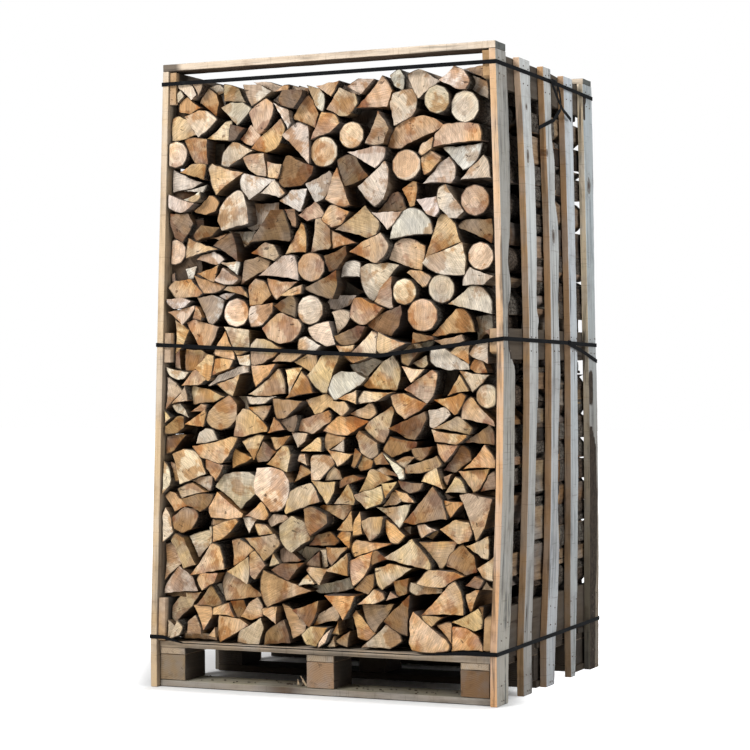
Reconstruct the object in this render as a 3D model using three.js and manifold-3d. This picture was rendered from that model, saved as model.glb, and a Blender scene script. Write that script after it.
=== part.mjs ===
// Crate of firewood on a pallet: slatted sides, an open front with the log ends, three thin straps.
// Units are millimetres. +Z is up, the open front faces -Y, the weathered right side faces +X.
// The origin is the middle of the underside of the whole crate.
import * as THREE from 'three';
import { mergeVertices } from 'three/addons/utils/BufferGeometryUtils.js';
import Module from 'manifold-3d';

const wasm = await Module();
wasm.setup();

// Overall frame
const SHIFT_X = -15;            // brings the bowed crate back over the origin
const SHIFT_Y = -10;
const GAP = 0.4;                // clearance between neighbouring pieces

// Pallet
const PALLET_HALF_X = 600;
const PALLET_HALF_Y = 480;
const BOARD_T = 22;             // every pallet board
const BLOCK_H = 87;
const BLOCK_X = 100;
const BLOCK_Y = 140;
const DECK_TOP = 3 * BOARD_T + BLOCK_H;

// Side panels
const SLAT_OUT = 622;           // outer face from the middle, at the ground
const SLAT_T = 24;
const SLAT_TOP = 2060;
const FRONT_Y = -500;           // front edges of the front slats
const RAIL_T = 24;
const RAIL_GAP = 1.2;           // a rail stands this far inside the slats
const RAIL_Y = [-492, 498];
const RAILS = { bottom: [156, 298], middle: [1088, 1186], top: [1950, 2056] };
const BATTEN_T = 24;

// The left panel leans in, the right one bows out in front and stands straight at the back.
const LEAN_START = 150;
const LEAN_TOP = 62;
const BOW_MID_Z = 1100;
const BOW_MID = 30;
const BOW_TOP = 10;
const BACK_TOP = -12;

function bowFront(z) {
  if (z < LEAN_START) return 0;
  if (z < BOW_MID_Z) {
    return BOW_MID * Math.sin((Math.PI / 2) * (z - LEAN_START) / (BOW_MID_Z - LEAN_START));
  }
  return BOW_MID - (BOW_MID - BOW_TOP) * ((z - BOW_MID_Z) / (SLAT_TOP - BOW_MID_Z)) ** 1.5;
}
function bowBack(z) {
  return z < BOW_MID_Z ? 0 : BACK_TOP * (z - BOW_MID_Z) / (SLAT_TOP - BOW_MID_Z);
}
const BOW_FADE = [[-500, 1], [70, 0.82], [200, 0.2], [500, 0], [600, 0]];
function along(rows, at) {
  if (at <= rows[0][0]) return rows[0][1];
  for (let i = 1; i < rows.length; i++) {
    if (at <= rows[i][0]) {
      const t = (at - rows[i - 1][0]) / (rows[i][0] - rows[i - 1][0]);
      return rows[i - 1][1] + t * (rows[i][1] - rows[i - 1][1]);
    }
  }
  return rows[rows.length - 1][1];
}
function bowRight(y, z) {
  const f = along(BOW_FADE, y);
  return f * bowFront(z) + (1 - f) * bowBack(z);
}
function leanLeft(z) {
  return z < LEAN_START ? 0 : LEAN_TOP * (z - LEAN_START) / (SLAT_TOP - LEAN_START);
}
// Moves a point of the upright, square crate to where it stands in the leaning one.
function settle(x, y, z) {
  const u = (x + PALLET_HALF_X) / (2 * PALLET_HALF_X);
  return x + u * bowRight(y, z) + (1 - u) * leanLeft(z);
}
function unsettle(x, y, z) {
  const bow = bowRight(y, z);
  const lean = leanLeft(z);
  return (x - (bow + lean) / 2) / (1 + (bow - lean) / (2 * PALLET_HALF_X));
}

let seed = 7;
function random() {
  seed = (seed * 1103515245 + 12345) % 2147483648;
  return seed / 2147483648;
}

// Each log end is a convex outline in the front plane, [x, z] in a ring.
function hull(points) {
  const p = [...points].sort((a, b) => a[0] - b[0] || a[1] - b[1]);
  const turn = (o, a, b) => (a[0] - o[0]) * (b[1] - o[1]) - (a[1] - o[1]) * (b[0] - o[0]);
  const half = (list) => {
    const out = [];
    for (const q of list) {
      while (out.length > 1 && turn(out[out.length - 2], out[out.length - 1], q) <= 0) out.pop();
      out.push(q);
    }
    out.pop();
    return out;
  };
  return [...half(p), ...half(p.reverse())];
}
function area(ring) {
  let sum = 0;
  ring.forEach(([x, z], i) => {
    const [u, w] = ring[(i + 1) % ring.length];
    sum += x * w - u * z;
  });
  return sum / 2;
}
// Keeps the part of a ring where nx * x + nz * z <= limit.
function clip(ring, nx, nz, limit) {
  const out = [];
  ring.forEach((a, i) => {
    const b = ring[(i + 1) % ring.length];
    const da = nx * a[0] + nz * a[1] - limit;
    const db = nx * b[0] + nz * b[1] - limit;
    if (da <= 0) out.push(a);
    if (da * db < 0) {
      const t = da / (da - db);
      out.push([a[0] + t * (b[0] - a[0]), a[1] + t * (b[1] - a[1])]);
    }
  });
  return out;
}
function normals(ring) {
  return ring.map(([x, z], i) => {
    const [u, w] = ring[(i + 1) % ring.length];
    const l = Math.hypot(u - x, w - z) || 1;
    return [(w - z) / l, (x - u) / l];
  });
}
function reach(ring, n) {
  return Math.max(...ring.map(([x, z]) => x * n[0] + z * n[1]));
}
// The direction in which two rings overlap least, from a to b, or null where they are apart.
function overlap(a, b) {
  let best = null;
  const tests = [...normals(a), ...normals(b).map(([x, z]) => [-x, -z])];
  for (const n of tests) {
    const far = reach(a, n);
    const near = -reach(b, [-n[0], -n[1]]);
    if (far <= near) return null;
    if (!best || far - near < best.depth) best = { n, far, near, depth: far - near };
  }
  return best;
}
function grow(ring, by) {
  const ns = normals(ring);
  const box = [[-9e3, -9e3], [9e3, -9e3], [9e3, 9e3], [-9e3, 9e3]];
  return ring.reduce((out, p, i) => {
    const n = ns[i];
    return clip(out, n[0], n[1], p[0] * n[0] + p[1] * n[1] + by);
  }, box);
}
// Drops the corners that matter least to the area.
function simplify(ring, most, keepArea) {
  let out = ring;
  for (;;) {
    const all = area(out);
    let best = -1;
    let loss = Infinity;
    out.forEach((p, i) => {
      const n = out.length;
      const cut = area([out[(i + n - 1) % n], p, out[(i + 1) % n]]);
      if (cut < loss) {
        loss = cut;
        best = i;
      }
    });
    if (out.length > 3 && (out.length > most || loss < keepArea * all)) {
      out = out.filter((_, i) => i !== best);
    } else {
      return out;
    }
  }
}

// The ends of the logs as they lie in the front, in centimetres: x from the middle, z from the
// ground, corner after corner. The letter is the look of the wood: p pale, w grey white, t tan,
// y yellow, o orange, b brown, m mossy, g grey and k dark ones that lie
// deep between the others, n dark ones beside the left panel.
// R is a whole round stick: x, z and radius.
const LOG_ENDS = `
p -57.3 17 -57.3 23 -54 20.3 -56 16.8 | p -55.5 16.6 -53 22 -51.2 20.2 -52.2 18
g -50 16.3 -49.5 19 -38.5 17.5 -38.2 16.2 | t -49 18.4 -48.7 22 -46 24 -44.3 22.3 -44.2 18.5
t -56.8 24.2 -50.3 31.3 -44.3 31.5 -47.5 27 -53.5 21.5 | t -47 27.3 -40 27.3 -39.6 25 -43.6 19.2
b -45 28 -40 34.4 -36.2 28.7 -38.5 27.6 | p -58.5 31.3 -52 40 -47 36.5 -45.5 32.5
p -60.3 33.5 -59.6 47 -54.5 48 -51.3 41.5
t -55 49.3 -53.5 51.3 -48 48.8 -44.8 43 -45.3 41.8 -50.3 40.3
p -47.8 50.3 -40.3 52.3 -39.8 48.8 -45 43.2 -47.6 46.5 | t -47.5 37.8 -39.8 48.5 -36.8 47.5 -35 40.2
k -36.3 47.8 -31.8 47.5 -31.6 42 -34.7 40.4 | t -45 36.5 -43.8 38.3 -38 38.3 -39.5 35 -43.3 32.8
k -38.5 39.3 -35.6 39.8 -36 34.5 -38.8 35.3 | g -39 34 -36 34.6 -34.8 29.3 -36 28.9
t -35.5 35.5 -33.8 39.3 -27 35.8 -21 31.6 -34.3 29.6 | y -33.6 39.6 -26.3 44.2 -25.6 39 -26.6 35.9
o -31.6 49.5 -29.5 50.2 -24 46.5 -26.3 44.2 -31 42 | t -25.8 45.8 -23.5 46.5 -20 42 -23.7 37.6 -25.6 39
t -27 50.3 -16 52 -14 49 -20.2 43.2 -23 46.3 | o -39.6 25.2 -39.4 27 -33 29 -31 24.5
b -33 29 -28 29.5 -27 27 -29 24.2 -31 24.5 | t -28.8 24.6 -26 28.6 -22.5 30.8 -20.7 28 -21 25 -25 23.6
t -37 24.2 -29 23.2 -26.5 21.5 -36.5 15.9 -38 18.5 | y -40.5 18 -38 21 -37.8 17.5
p -29.8 16.4 -28.8 20.2 -21.8 24.2 -20.8 21 -22.6 15.9 | b -20 16 -19.3 20 -13 24 -11 17
t -21 27.8 -16 28.5 -16.2 23.3 -20.5 26 | t -13.8 29.2 -8.5 26.2 -5 23 -5.5 20.3 -9.8 18.2
b -9.3 27.3 -1 30.3 -1.8 24.5 -3.5 22.5 | o -2.8 22.6 -1.5 25.3 5.3 29 7 25.8 6.5 24.6
y -6.5 19.8 -3.5 22.3 3 22 -0.8 16.2 -4.8 16.8 | p -0.4 16.3 0 18.5 3.6 21.3 2 17.8
p 3.4 16.2 5.4 19.3 5.6 16.3 | t 4 20 6.3 24 6.6 19.7 | t 6 17.6 10.3 20.4 9.5 16.4
k 7.2 25.2 10 26 12 24.5 12 21.3 7.5 23 | o 12.2 26.5 13.2 27.7 19.6 20.8 17 18.6 13.8 19.5
p 15.3 16.3 23.8 23.6 28.5 20.5 29 19 24.8 16.4 | b 15.8 30 25.5 30.2 23 25 19.9 21.3 17.8 23.5
o 2.4 32.4 12 32.5 8.4 25.6 | k 11.5 32 15.5 31.5 14.5 27.5 11 29.5
t -21.2 34 -20 40 -12 37 -3.3 33.8 -14.5 29.8 -18.8 28 | g -3.2 34.8 10.8 37.8 12 35 0 33
p -7 36 -4 39.3 -2.4 36.6 | t -4.8 40.2 -3.8 41.4 2.4 40.8 0 36.1 -1.2 36.4
b -17 40.4 -14 42.4 -6 42.6 -11 37.3 | p -17.8 41.8 -16.4 46 -14.2 42.8
b -14 43 -14 47 -11.5 48 -6.5 44 -8 43.3 | m -13.8 50 -14 55 -10 58 -5 56 -3.5 51 -10.8 46.3
g -10.5 45.8 -6 47 -4.6 46.4 -8 44.8 | g -6.1 45 -4.8 47.6 0 47 -4.8 42.7 | b -4.5 42.6 -0.3 46 0 41.8
g 0.8 47 2.6 47.3 2.8 42 1.3 41.5 | t 2.8 48 9.7 48.3 4.5 42.8 3.3 44.5 | y 2.7 40.8 10 46.2 10.2 39.7
o 10.7 43.8 17 46.8 20 47.8 19.5 45.5 15 38.5 12.2 36.5 | o 11 48.5 13.5 51 25.8 50.4 20.5 48 12.5 45.8
b 18.5 47.5 21.5 47.3 24 45.3 19 43.5 | o 6.9 52 8.3 53.6 11.6 53 11 48.3
b -3 49 -0.5 52 4 53 7 50.3 6 49.3 | b 12.8 35.2 16.5 39 19.3 39.8 19 36 17.3 33.8
y 14.5 30.6 19.5 35 22.5 34 22.8 32.5 19 30.8 | y 20.2 41.6 25.5 43.3 32 42 25.5 38.2 22.2 35.2 20.6 37
b 26.6 37.8 31.8 38.9 31.2 34.5 27.8 33.5 | t 24.3 32.3 25.5 34.7 27.5 33.3
b 22.8 25.3 31.4 33 30.7 21.2 27.5 22.2
o 31.6 18.5 32 26 33.8 29.5 35.5 28.5 41.5 24 46 18.5 45 17 32.5 16.6 | t 36.2 27.4 42.3 27 38 23.6
t 41.3 24.3 45.7 25.5 46 19.2 | o 46.3 17 46.6 24 51 23.8 55 21.3 56.6 17.4
y 45.6 25.8 54.8 30.6 56.8 27.5 56.3 24.5 53.5 23.3 | b 55.8 30.8 60 31 60 28 57.3 26.8
t 51.5 34.5 55.4 36.3 52.8 29.7 | t 36.2 27.6 47.3 39 49.6 35 50 28.3
p 31.2 35.5 32.5 37.8 43 36.2 42.8 35 34 34 | t 34.2 37.4 39 42.5 46 42.3 51 40.2 44.5 36.9
t 51.4 37.4 54.6 40.5 57.2 39.3 56.4 36.3 | p 55.8 36.3 57.5 39 60.2 36
p 55.3 43 60.8 46.6 60.6 39.4 57.3 40 | b 44.8 43.5 45.5 46.5 50 50 54 46.5 54.8 42 51 40.9
o 35 50.3 48.3 51 46 47.5 43 42.2 | y 23.5 45.6 33.6 51.9 36 49 39.2 44 39 42.4
y 51.6 50.2 58.5 53.2 58.8 46.3 57 46.6 | w -60.5 48 -60 54 -57 59.5 -54.5 55.5 -54 52.5 -58.5 48.7
b -54.5 54 -54.5 56.5 -50 60 -46 59.5 -45 57.5 -47.5 53.3 -51 52
t -57 64 -55.5 65.2 -53.5 64.8 -49 60.8 -53.5 59
b -51 63.2 -46 64.7 -39 64.5 -39.5 62 -44 59.3 -49.5 61.5
t -52 66.3 -46 68.6 -41 66 -42.5 65.2 -50.5 63.3 | p -47 69.4 -45.5 70.4 -39 70.5 -39.5 66.3 -41.5 66
p -54 78 -50 79.6 -44.7 78.5 -42.2 72 -42.3 70.6 -46 70 -51 67.5
w -60.5 75.5 -58 75.5 -55.8 73.5 -55 70.5 -56 67.3 -58.5 65 -60.5 65
b -55 75 -53.5 74.5 -51.5 69.5 -53.5 69 | b -59 81 -57.5 83.3 -51 84.5 -49.8 84.3 -54 79.3 -56.5 78.3
b -58.3 86 -52 90.5 -50 90.5 -49.8 87.5 -53 85.3 -56.5 85 | y -60.6 86.5 -60.6 94 -57 92 -55.5 90.3
k -49.5 87 -45 86.5 -46 82.5 -50 81.5 | w -45 82 -44 85 -41.5 86.5 -38.7 86 -37.4 83 -38.5 82.3
t -47 80.8 -46 81.3 -38 82.8 -31 84.6 -29.5 83.3 -34.5 76 -37 75.2 -41 76.6 -44.5 77.5
t -41.5 76.3 -39.5 75.8 -35.3 74.5 -37.5 69 -41.5 73.3
p -38.5 67.3 -36 70.8 -31 72 -25.5 71.9 -22.6 69.8 -23.6 65.3 -28.8 60.2 -33 63
o -40.3 61.5 -37.5 66 -35 64.5 -28.5 58.5 -29 57 -39.3 56.8 -40.2 59
p -39.5 54.8 -39 56.2 -31.5 56.6 -38.8 54.2
o -40.5 53.8 -34 54.5 -30.5 57 -29.8 56.3 -33.8 52 -37 49.8 -40.3 48.9
y -31.3 74 -30.8 79.8 -25 77 -27 75.6 | y -27.5 82.3 -21.5 84.5 -20.3 84.2 -23.7 77
t -30.7 84 -29.8 90.5 -27.5 93 -24.5 92.5 -18.6 87.2 -19 86 -29.5 83.9
p -40 54 -39 54.5 -38.5 52 -40 51 | w -27.5 57 -25.5 52.8 -23 56.8
o -26.3 58 -20.5 62.7 -18.5 58 -20.5 56.9 | o -49.3 88.4 -42 93 -41 91 -42 87.6
t -41.7 90 -39.8 92.5 -36 95.5 -32.5 97.4 -30.2 94.5 -30.3 90 -32.5 87.8 -36 86.4 -39.5 87.4
t -18.6 56.8 -17 58.3 -12 58 -11.3 57 -17.8 54.6 | t -23 55 -19 54.8 -17 52.6 -21.8 52
p -22 73.5 -17.5 73.8 -13.5 73 -11.3 69.5 -11 66 -12.5 62 -15 60 -18.5 59.6 -22.8 64.3 -23.3 68.5
t -12.3 60.5 -10.5 66 -6 68 -3 68.8 -2 68 -0.4 63.2 -5.5 61.2 -11.8 59.2
b -5.2 60.5 -3 61.2 2.2 59.3 2.5 56.3 -3.2 52.4 -4.9 55 | g 2.3 59 5 57.6 4.8 56 2.6 56.3
t 0.2 60.9 1.5 61.8 11.5 62.3 11.8 61 8.5 57 | t 5.8 62.4 10.6 68.8 12.8 64.5 12 62.2
y -2.8 69.6 5.7 69.4 5 66 2.7 62.2 | k 5.9 69.2 8 69 7.2 66 4.2 63
b 7.8 67.6 8 70 12 71.6 16 70.8 11.2 69.2 | t 2.7 70.2 3.2 72.3 5.3 74.3 7.2 73 8.3 70.6
p -2.6 77 -2 77.8 4.5 77.5 5.6 75.3 2.3 72 0 70.1 -2.2 70.2 | o -8.2 69.8 -6.4 74.4 -2.8 72.5
p -7.2 76.4 -6.5 78.3 -5.3 78.2 -4.8 75.4 | k -5 78.2 -2.9 78 -2.8 73.8 -4.6 75
y -18.8 75 -13 81 -11 80.8 -10.3 78 -11.8 72.7 -14.5 74 | k -10.2 80.8 -7.7 80.5 -7 73.5 -11 73
t -17 83.5 -10.8 84.3 -13 81.5 -15.5 80 | b -22.5 77.5 -20 82.3 -15.6 79.4 -18.8 76.3 -22 76
p -9.8 85.6 -4.2 85.2 -5 83 -7.6 80.8 | y -5.2 79.8 0 83.7 1.3 83.3 1.5 79.7
o 1.7 81.6 3.3 85.3 9 83.6 6.5 81.5 3.5 79.8 | w 5 79.9 8.8 82.7 9 79.4 | t 3.7 79.8 9 79 11.5 78.4 7 75
k 9.3 83 13 82.8 13 79.7 9.2 79.5 | t -8 85.9 -6.5 90 -1 91 3.6 92.9 4.8 91.5 4.5 89.4 -3 84.8
t -17.9 85.8 -16 90.1 -12.8 86.8 | b -14 89.2 -8 91 -7.2 89 -8.3 86 -10.3 85.8
o 2.5 86.2 8.3 91.1 11.5 91 17.2 89 10 84.8 | t 13.9 84.5 15 86.1 20.5 82.5 21 78.6 18.5 77.4 15.3 79.3
b 12.2 74.8 13.3 80 15.6 78 14 75.8 13.5 74 | t 13.8 75.3 16 77.8 19.2 76.4 18.4 74.3 15 73.5
y 17 87 18 88.5 26 93.6 26.8 92.3 25 86 23.2 82.4 21.3 82.7
y 14.7 66.5 18.3 73.3 20.2 73.6 26.2 70.7 20 67.8 | y 12.8 65.2 18 66 22.5 68.2 22.6 63 17.2 61
y 22.2 69 26.8 69.5 23.4 64.8 | t 7.2 54.3 11.3 59.4 12 54 | o 12.3 52.6 13 57.5 14.8 59.8 15.3 53.3
t 15 56.8 18.5 58.2 22.8 58.4 21.5 53.5 18 51 | o 24 57.2 27.5 54.8 30 52.5 27.8 50 25.8 50.3 24.2 53.5
p 20.3 61.6 32.4 62.8 30.2 58 28.2 55 | g 29.5 54.6 32.2 54.9 32 52.3 29.6 53
b 30.3 57.2 40 68.2 43 64.5 44.9 58.3 34.5 56.5 | p 35 56.3 36.5 56.6 40.4 54.6 36.3 52.6
g 37 52.8 40.6 54.9 41.8 54 40 51.6 | t 43 55 48 57.9 52.2 57.2 53.3 54.3 52 51.8 48.5 50.9
t 49.5 65.8 52 66.4 59.8 64.8 57.2 56 54.8 52 | k 59.5 64 61 63.5 61 53.5 57 54.5
o 43.8 63.8 49.8 63.3 46 59.3 44.6 61.3 | g 41.3 66.8 46.5 65 43.8 63.8
k 48 62.5 50.4 62 50.8 58.4 47 59 | y 44.2 66.9 47.5 71.7 49.3 71 51.2 67
o 49.4 73.1 59 73.9 55.3 67.5 54.3 67 | b 57 67.6 59.5 72.3 61 73.2 61 68.3
y 36.5 70.2 38.3 72.8 41.6 74.4 43 72 44.4 67.7 | t 43.8 71.2 46 72 45 69.7
b 28.5 70.3 36.4 69.6 35.8 67.8 32.5 66.6 29.5 68 | p 22.8 62.2 26 66.4 28.9 66 28.9 63.8 26.5 62.2
t 27 67 31 66 33 63.7 29 64 | w 22.6 79.8 27.5 76.2 29.8 74.5 30 71 28.6 70.6 27.2 73.6
p 27.8 76.3 31.5 77.8 33.7 77.4 31 74.8 29.5 74.3 | b 19.8 77 22.7 79.2 24.8 75.8 20.5 75.6
t 21 73.4 23.2 74.2 27 72.4 27.4 71.9 22.5 72.5 | b 30.8 75 35 75.6 41.3 78.2 43.4 75.2 35 73 31 73
b 33.3 80.3 39.2 80.9 38 78.6 36 77 34.2 77.8 | b 23.3 80 25.5 84 34.5 82.4 34.3 81 26.2 77.8
b 25 86.8 30.5 88.6 37.6 92 38.3 90.8 34 83.6 31.5 84
o 42 81.8 48.3 81.6 46.8 78.8 44.5 76.6 42.7 78.6
b 43.2 74 48.3 80.5 50.5 81.4 52.7 80 53.2 77 48 73.2 | o 51.5 74.6 57.8 81.5 61.2 77 61 75
b 51 82.8 59.3 88.4 61 85.5 61 82 | y 40.3 86.4 51.5 85 52 84 48.8 81.8 41.3 82.8
t 40.6 86.8 48.6 90.7 53.5 87 52.5 85.1 | w 38.9 92.5 39.3 87.8 41 87.3 46 91.5 45 93.5
o 50.3 90.4 51 94.8 53.2 96.7 56 95 60.5 90.5 61 88.2
p -60.4 95 -60.4 101.5 -58 104 -55.5 103.5 -50.5 99.3 -56.8 93.4
w -53.7 94.3 -51.5 95 -49.8 93 -48.7 90.5 -52 91.8 | k -50.5 94.8 -46.5 93.6 -46 91.4 -48.3 90.6
o -46 92.6 -43 94.6 -41.4 94.2 -42 92.5 | t -53.8 95.2 -48.8 101 -47.9 96.2
y -47.4 97.5 -46.5 100.6 -40.5 99.4 -35 97.2 -38 95.8 -46.9 95
o -49.8 101.3 -46 105.8 -44 106.1 -41.3 103.3 -44.5 101.3
w -56.7 107.5 -48 105.7 -50 103.5 -52 103.2 -55.3 104.8 | o -55.2 108.7 -51.6 112.3 -51.2 106.4
k -51.2 112.8 -48.9 113 -49 106.2 -50.8 106.4
o -48.6 106.2 -48.3 112.8 -43 112.5 -40.8 111 -46.3 106.2
y -46 106.3 -40.5 111 -37.8 110.3 -38.8 105.5 -40.4 101.5 -43.5 105
w -40.8 101.5 -38 104 -30 106.8 -25.2 107.3 -25.6 105.4 -39.8 100.9
o -38.8 104.8 -38.6 109.5 -31.3 109.4 -32.8 106.6
o -38.2 111.5 -36.8 114.5 -33.8 118.6 -31.3 113 -30.7 109.7
y -34 120 -25.2 118.8 -25 112.8 -29.5 111 -31.6 114 | w -29.3 110.6 -28.3 107.9 -24.6 107.5 -24.8 111
t -48.3 121.8 -45.5 123 -36.6 120.4 -39.8 113.6 -43.2 113.6
y -55.8 122.8 -53 123 -48 119.6 -50.6 114 -53.5 111.6 -55.2 113.5
p -55.3 125.8 -46 127.7 -45.6 127 -50.2 121.6 | w -56.4 129.6 -51 130.5 -47.8 129 -50 127 -53.5 127
o -45.9 123.6 -44.8 126.9 -42.8 125 -43.3 122.9
w -44.6 130 -37 131 -34.6 129 -35.5 125 -39 121.4 -41.2 122.3 | R -29.7 125 4.8
p -25.2 123.6 -24.3 126.7 -16.5 127.6 -16.6 125 -20.5 121 -24.3 120.5
y -24.7 113.6 -22.5 116 -19.5 115.8 -13.8 113 -16 110.8 -21 108.2 -24.3 107.8
o -24.3 107.3 -16 107.7 -20.3 102 -22.6 100.5 | y -37 101.3 -29 104.4 -31.8 97.6
k -29 103.6 -24 104.5 -22.9 101 -27 98 -31 98
y -25.5 98.4 -20 102.2 -15 106.4 -14 106 -12.4 102.5 -12.2 98.6 -21 97.4
g -30.2 94.6 -31.8 97.2 -26.8 97 -25.4 93.3 -29.5 91 | p -25.8 97.3 -15.8 97.3 -19.5 95.3 -25 95.2
o -25 93.4 -17.8 93.9 -20.5 89.2 | b -16.3 96.2 -6.5 95.6 -12.3 90.4 -15 90.3
k -11 91 -5.2 95.8 -1.5 90.6 | t -4.3 95.8 3.3 97.8 5.6 96.3 3.3 94 0 91.3 -1.2 91.2
t 3.3 94.3 5 95.8 9.2 95.5 11.2 93 8.8 90.9 | t 12 91.6 19.2 94.9 20.6 92 18.5 90.3 14 90.8
t 8.2 96.6 13.8 98.9 13.8 95 | y 13.8 95.8 16.2 98.7 25.8 98.3 20.5 95.7 15 95
o -10.9 97.2 -5.8 105.2 -4 103.6 -2.4 98.8 | y -11.3 105.8 -6.2 106.4 -10.4 98.6
g -13.8 106.2 -11.5 106 -10.8 98.8 -12 98.7 | y -4.5 104.3 0 110 8.4 110.6 5.3 104 3.8 98.5 0.8 98.7
o -8.3 108.8 -4.5 110.9 -0.6 110.3 -0.4 106.9 -2.8 105.6 | t -15.8 109.1 -12.5 112.2 -6 111 -8.6 108.8
p -6.8 112.6 -6.5 115.8 -4.5 116.5 0.3 113.7 -1.6 112
o -20 119.6 -18 116.5 -14 114.8 -10 115.4 -7 117.6 -5.7 120.8 -7 122.4 -12.5 124.5 -14.5 124
b -15.5 127 -9.5 130.2 -7.2 127.5 -7.5 123 -11 124 | R -2.7 125.4 4.9
p -3.1 119.4 5 121.6 5.9 117.5 6.8 114.6 3 113.8 -0.8 115.6 -2.7 117.8
p 4.5 124.3 9 125.2 11.9 124.2 10 120.5 6.6 117.2
b 5.9 116.6 14.5 119.8 16.6 119.6 14.5 115.8 12 114 8.3 113.9
o 11.6 123 13.3 128.6 16 128.9 22.8 125.8 18.4 120.6 15 120.6
g 3 126.6 5.5 130 13.3 129.6 11.5 127.3 7.5 125.7 | y 7 113.6 12.8 113.7 12.3 112 8.2 111.6
y 12.3 111.7 19.6 118.5 21.4 117.5 20.6 111.3 | o 9 110.4 19 110.4 12 108.1
g 11.9 107.2 20 109.2 22.5 108.3 17.3 103.4 13.5 104.8
w 3.6 100 4.3 103 8 105 13 104.9 17 102.6 13.5 100.4 6 96.2
y 16.3 101.3 21.5 107.3 26.5 110 28.9 106 28.8 103 27.6 99.5 17.5 100.3
o 26 97.4 30 97.9 37.6 94.8 35 92.4 30.6 90.2 28 92.3 | k 19 95 24.5 97.6 26.3 96 27.3 92.4 22 91.6
t 31 99.5 34 101.6 40.5 105.2 41.7 104.5 40.2 97.5 38 95.2 | k 42 105 49 105.2 46.5 98.3 40.8 97.2
y 30 106.9 37.2 106 33 102 | b 29.8 111 35.5 111.4 32 107.2 30 108
y 34.2 107.8 38 109.7 38.5 107.5 36.9 106.2
w 39.8 108.5 40 112 44.3 112.4 52.8 107 52.9 105.7 46 105.6 41.5 106.9
y 46.7 111 48.5 112.5 52.6 112.9 52.3 107.9
p 53.1 110.6 56 113.9 61 114 61 109.3 58.8 107.6 54.5 109.3
o 53.1 106.2 54.8 108.6 57.2 108.2 58.5 104.8 55.5 104.6 | k 57.8 108 61 107.3 61 104.4 58.6 104.8
p 49.4 105.2 59 103.8 53.4 98.4 | t 46.2 97.8 49.9 104 52.5 99.2 | R 58.9 97.2 3.9
o 40.8 95.8 50.3 97.9 51.4 97.2 48.5 92 47.3 91.3 | R 37 123 5.4 | R 30.8 130.6 4.3 | R 43.6 131.3 4.7
p 46.6 126.6 51 129.5 54.5 132.5 57.5 131 60.5 127 60.5 123.4
o 40.6 116.4 48.8 124.6 51 124.6 53.5 121.5 54.4 117.8 | g 55.2 122 60.6 122.4 60.6 118.5 56 115.2
o 58.8 117.6 61.2 118.2 61.2 115.4 | t 41.5 115 50.5 116.3 51.2 115 44 113.4
b 33.6 114.2 34.2 118.3 40.2 117 40.6 115.4 | g 30 111.8 33 113.6 41 115.2 40.8 114 36 112.3
y 20.8 112.5 21.8 117.4 25 116.4 30.3 114.2 22.8 110.6
b 17.5 120.8 22 123.7 29.3 126.5 29.8 124 28.5 119.5 25.2 116.2 18.2 119
t 20.6 127.6 22.8 132.5 26 135 26.4 129 26.5 125.4
o -54.9 133.8 -52.5 136 -46.5 136.5 -42.6 132.2 -45.5 130.2 -51.8 129.9
o -45.3 138 -41 136 -33.7 134.3 -36.5 132.4 -42.3 131.9
w -36.5 130.3 -33.5 131.4 -31.3 131.3 -34.2 129.3 | o -33.9 132.8 -32.3 134.1 -28.3 133.8 -25.7 130.4
o -25.2 130 -24.6 133.8 -22.3 135.8 -19 134.6 -17.2 130.8 -20.5 127.8 -25 127.5
t -28.6 134.2 -28 138.5 -26.5 141.8 -21.5 143.2 -17.5 141.6 -18.5 139.5
p -37.7 136 -33.9 140.3 -28.3 136.6 -31 134.7 -35 134.6 | w -34.8 141.6 -28.4 141.7 -29.7 137.2
t -43.5 138.2 -36.7 140.4 -38.2 135.4 | k -45.3 141.6 -42 142.4 -36 141 -42.5 139.6
w -43.7 143.2 -41.8 144.8 -37.8 145.3 -34.2 142.6 -36.5 141.2
w -48.4 139.8 -45 140.4 -46.3 136.8 -47.5 137 | k -56.5 142.5 -53 141.9 -50 139 -56 138.6
w -57 137.5 -53.3 138.5 -53 136 | R -52.8 145.8 4.4
t -48.4 143.6 -47.6 149.9 -45.5 149.4 -36.5 146.2 -42 145.2
b -38.5 147.2 -31.6 151.2 -30 147 -29.3 141.8 | o -39.4 150.4 -33.3 151.7 -34.7 149.4
b -45.6 150.8 -43 153.9 -36.5 153 -40 149.8 -44.5 149
b -55.5 158.6 -48 158.4 -46.2 155 -50.2 149 -52.5 150.2 | g -47.6 158.2 -42 156.9 -42.5 154.6 -46 154.9
p -58 165 -54.5 164.6 -45.3 161.4 -50.5 158.9 -55.5 161
o -46.2 160.2 -41.5 164.3 -38 163.9 -36 161.8 -37.2 159.5 -41 158.3 -44.8 159.2
w -49 163.2 -43.5 165.4 -43 163.3 -45.8 162.2 | w -47 166.2 -41 167.5 -42 165.5
p -55.2 166 -53.4 173.2 -50 171.8 -43.2 168.7 -46.5 167
p -36.4 155.3 -35.3 159.5 -32.5 163 -29 164.9 -27.4 164.8 -25.8 159 -25.6 154.6 -35 152.6
g -32 152.4 -22.8 151.8 -25 148 -28 146.7
g -25.4 161.6 -13.8 161 -13.8 158.4 -19.5 155.5 -23 152.5 -25.2 153.5
w -28 168.5 -27 171 -21 169.8 -15.8 168.2 -20 165.2 -25 162.2 -27.3 165
t -39.5 173 -38.5 174.2 -27.5 170.8 -34 166 -36.6 164.2 -37.5 167.5
t -17.7 135.6 -8 134.4 -14.8 129.3 -16.8 132 | t -12.5 130.4 -4.8 133.6 -5.2 130.8 -9.5 130.2
b -24.2 148.2 -16.5 158.2 -12 158 -10 148.2 | o -23.3 144.6 -19 147.6 -16 146.7 -13.8 143 -15.2 141.9
p -20.8 137.3 -14.5 142 -11.5 143.2 -8.5 143.1 -6.8 139 -6.5 135.4 -12 136.4
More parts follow.
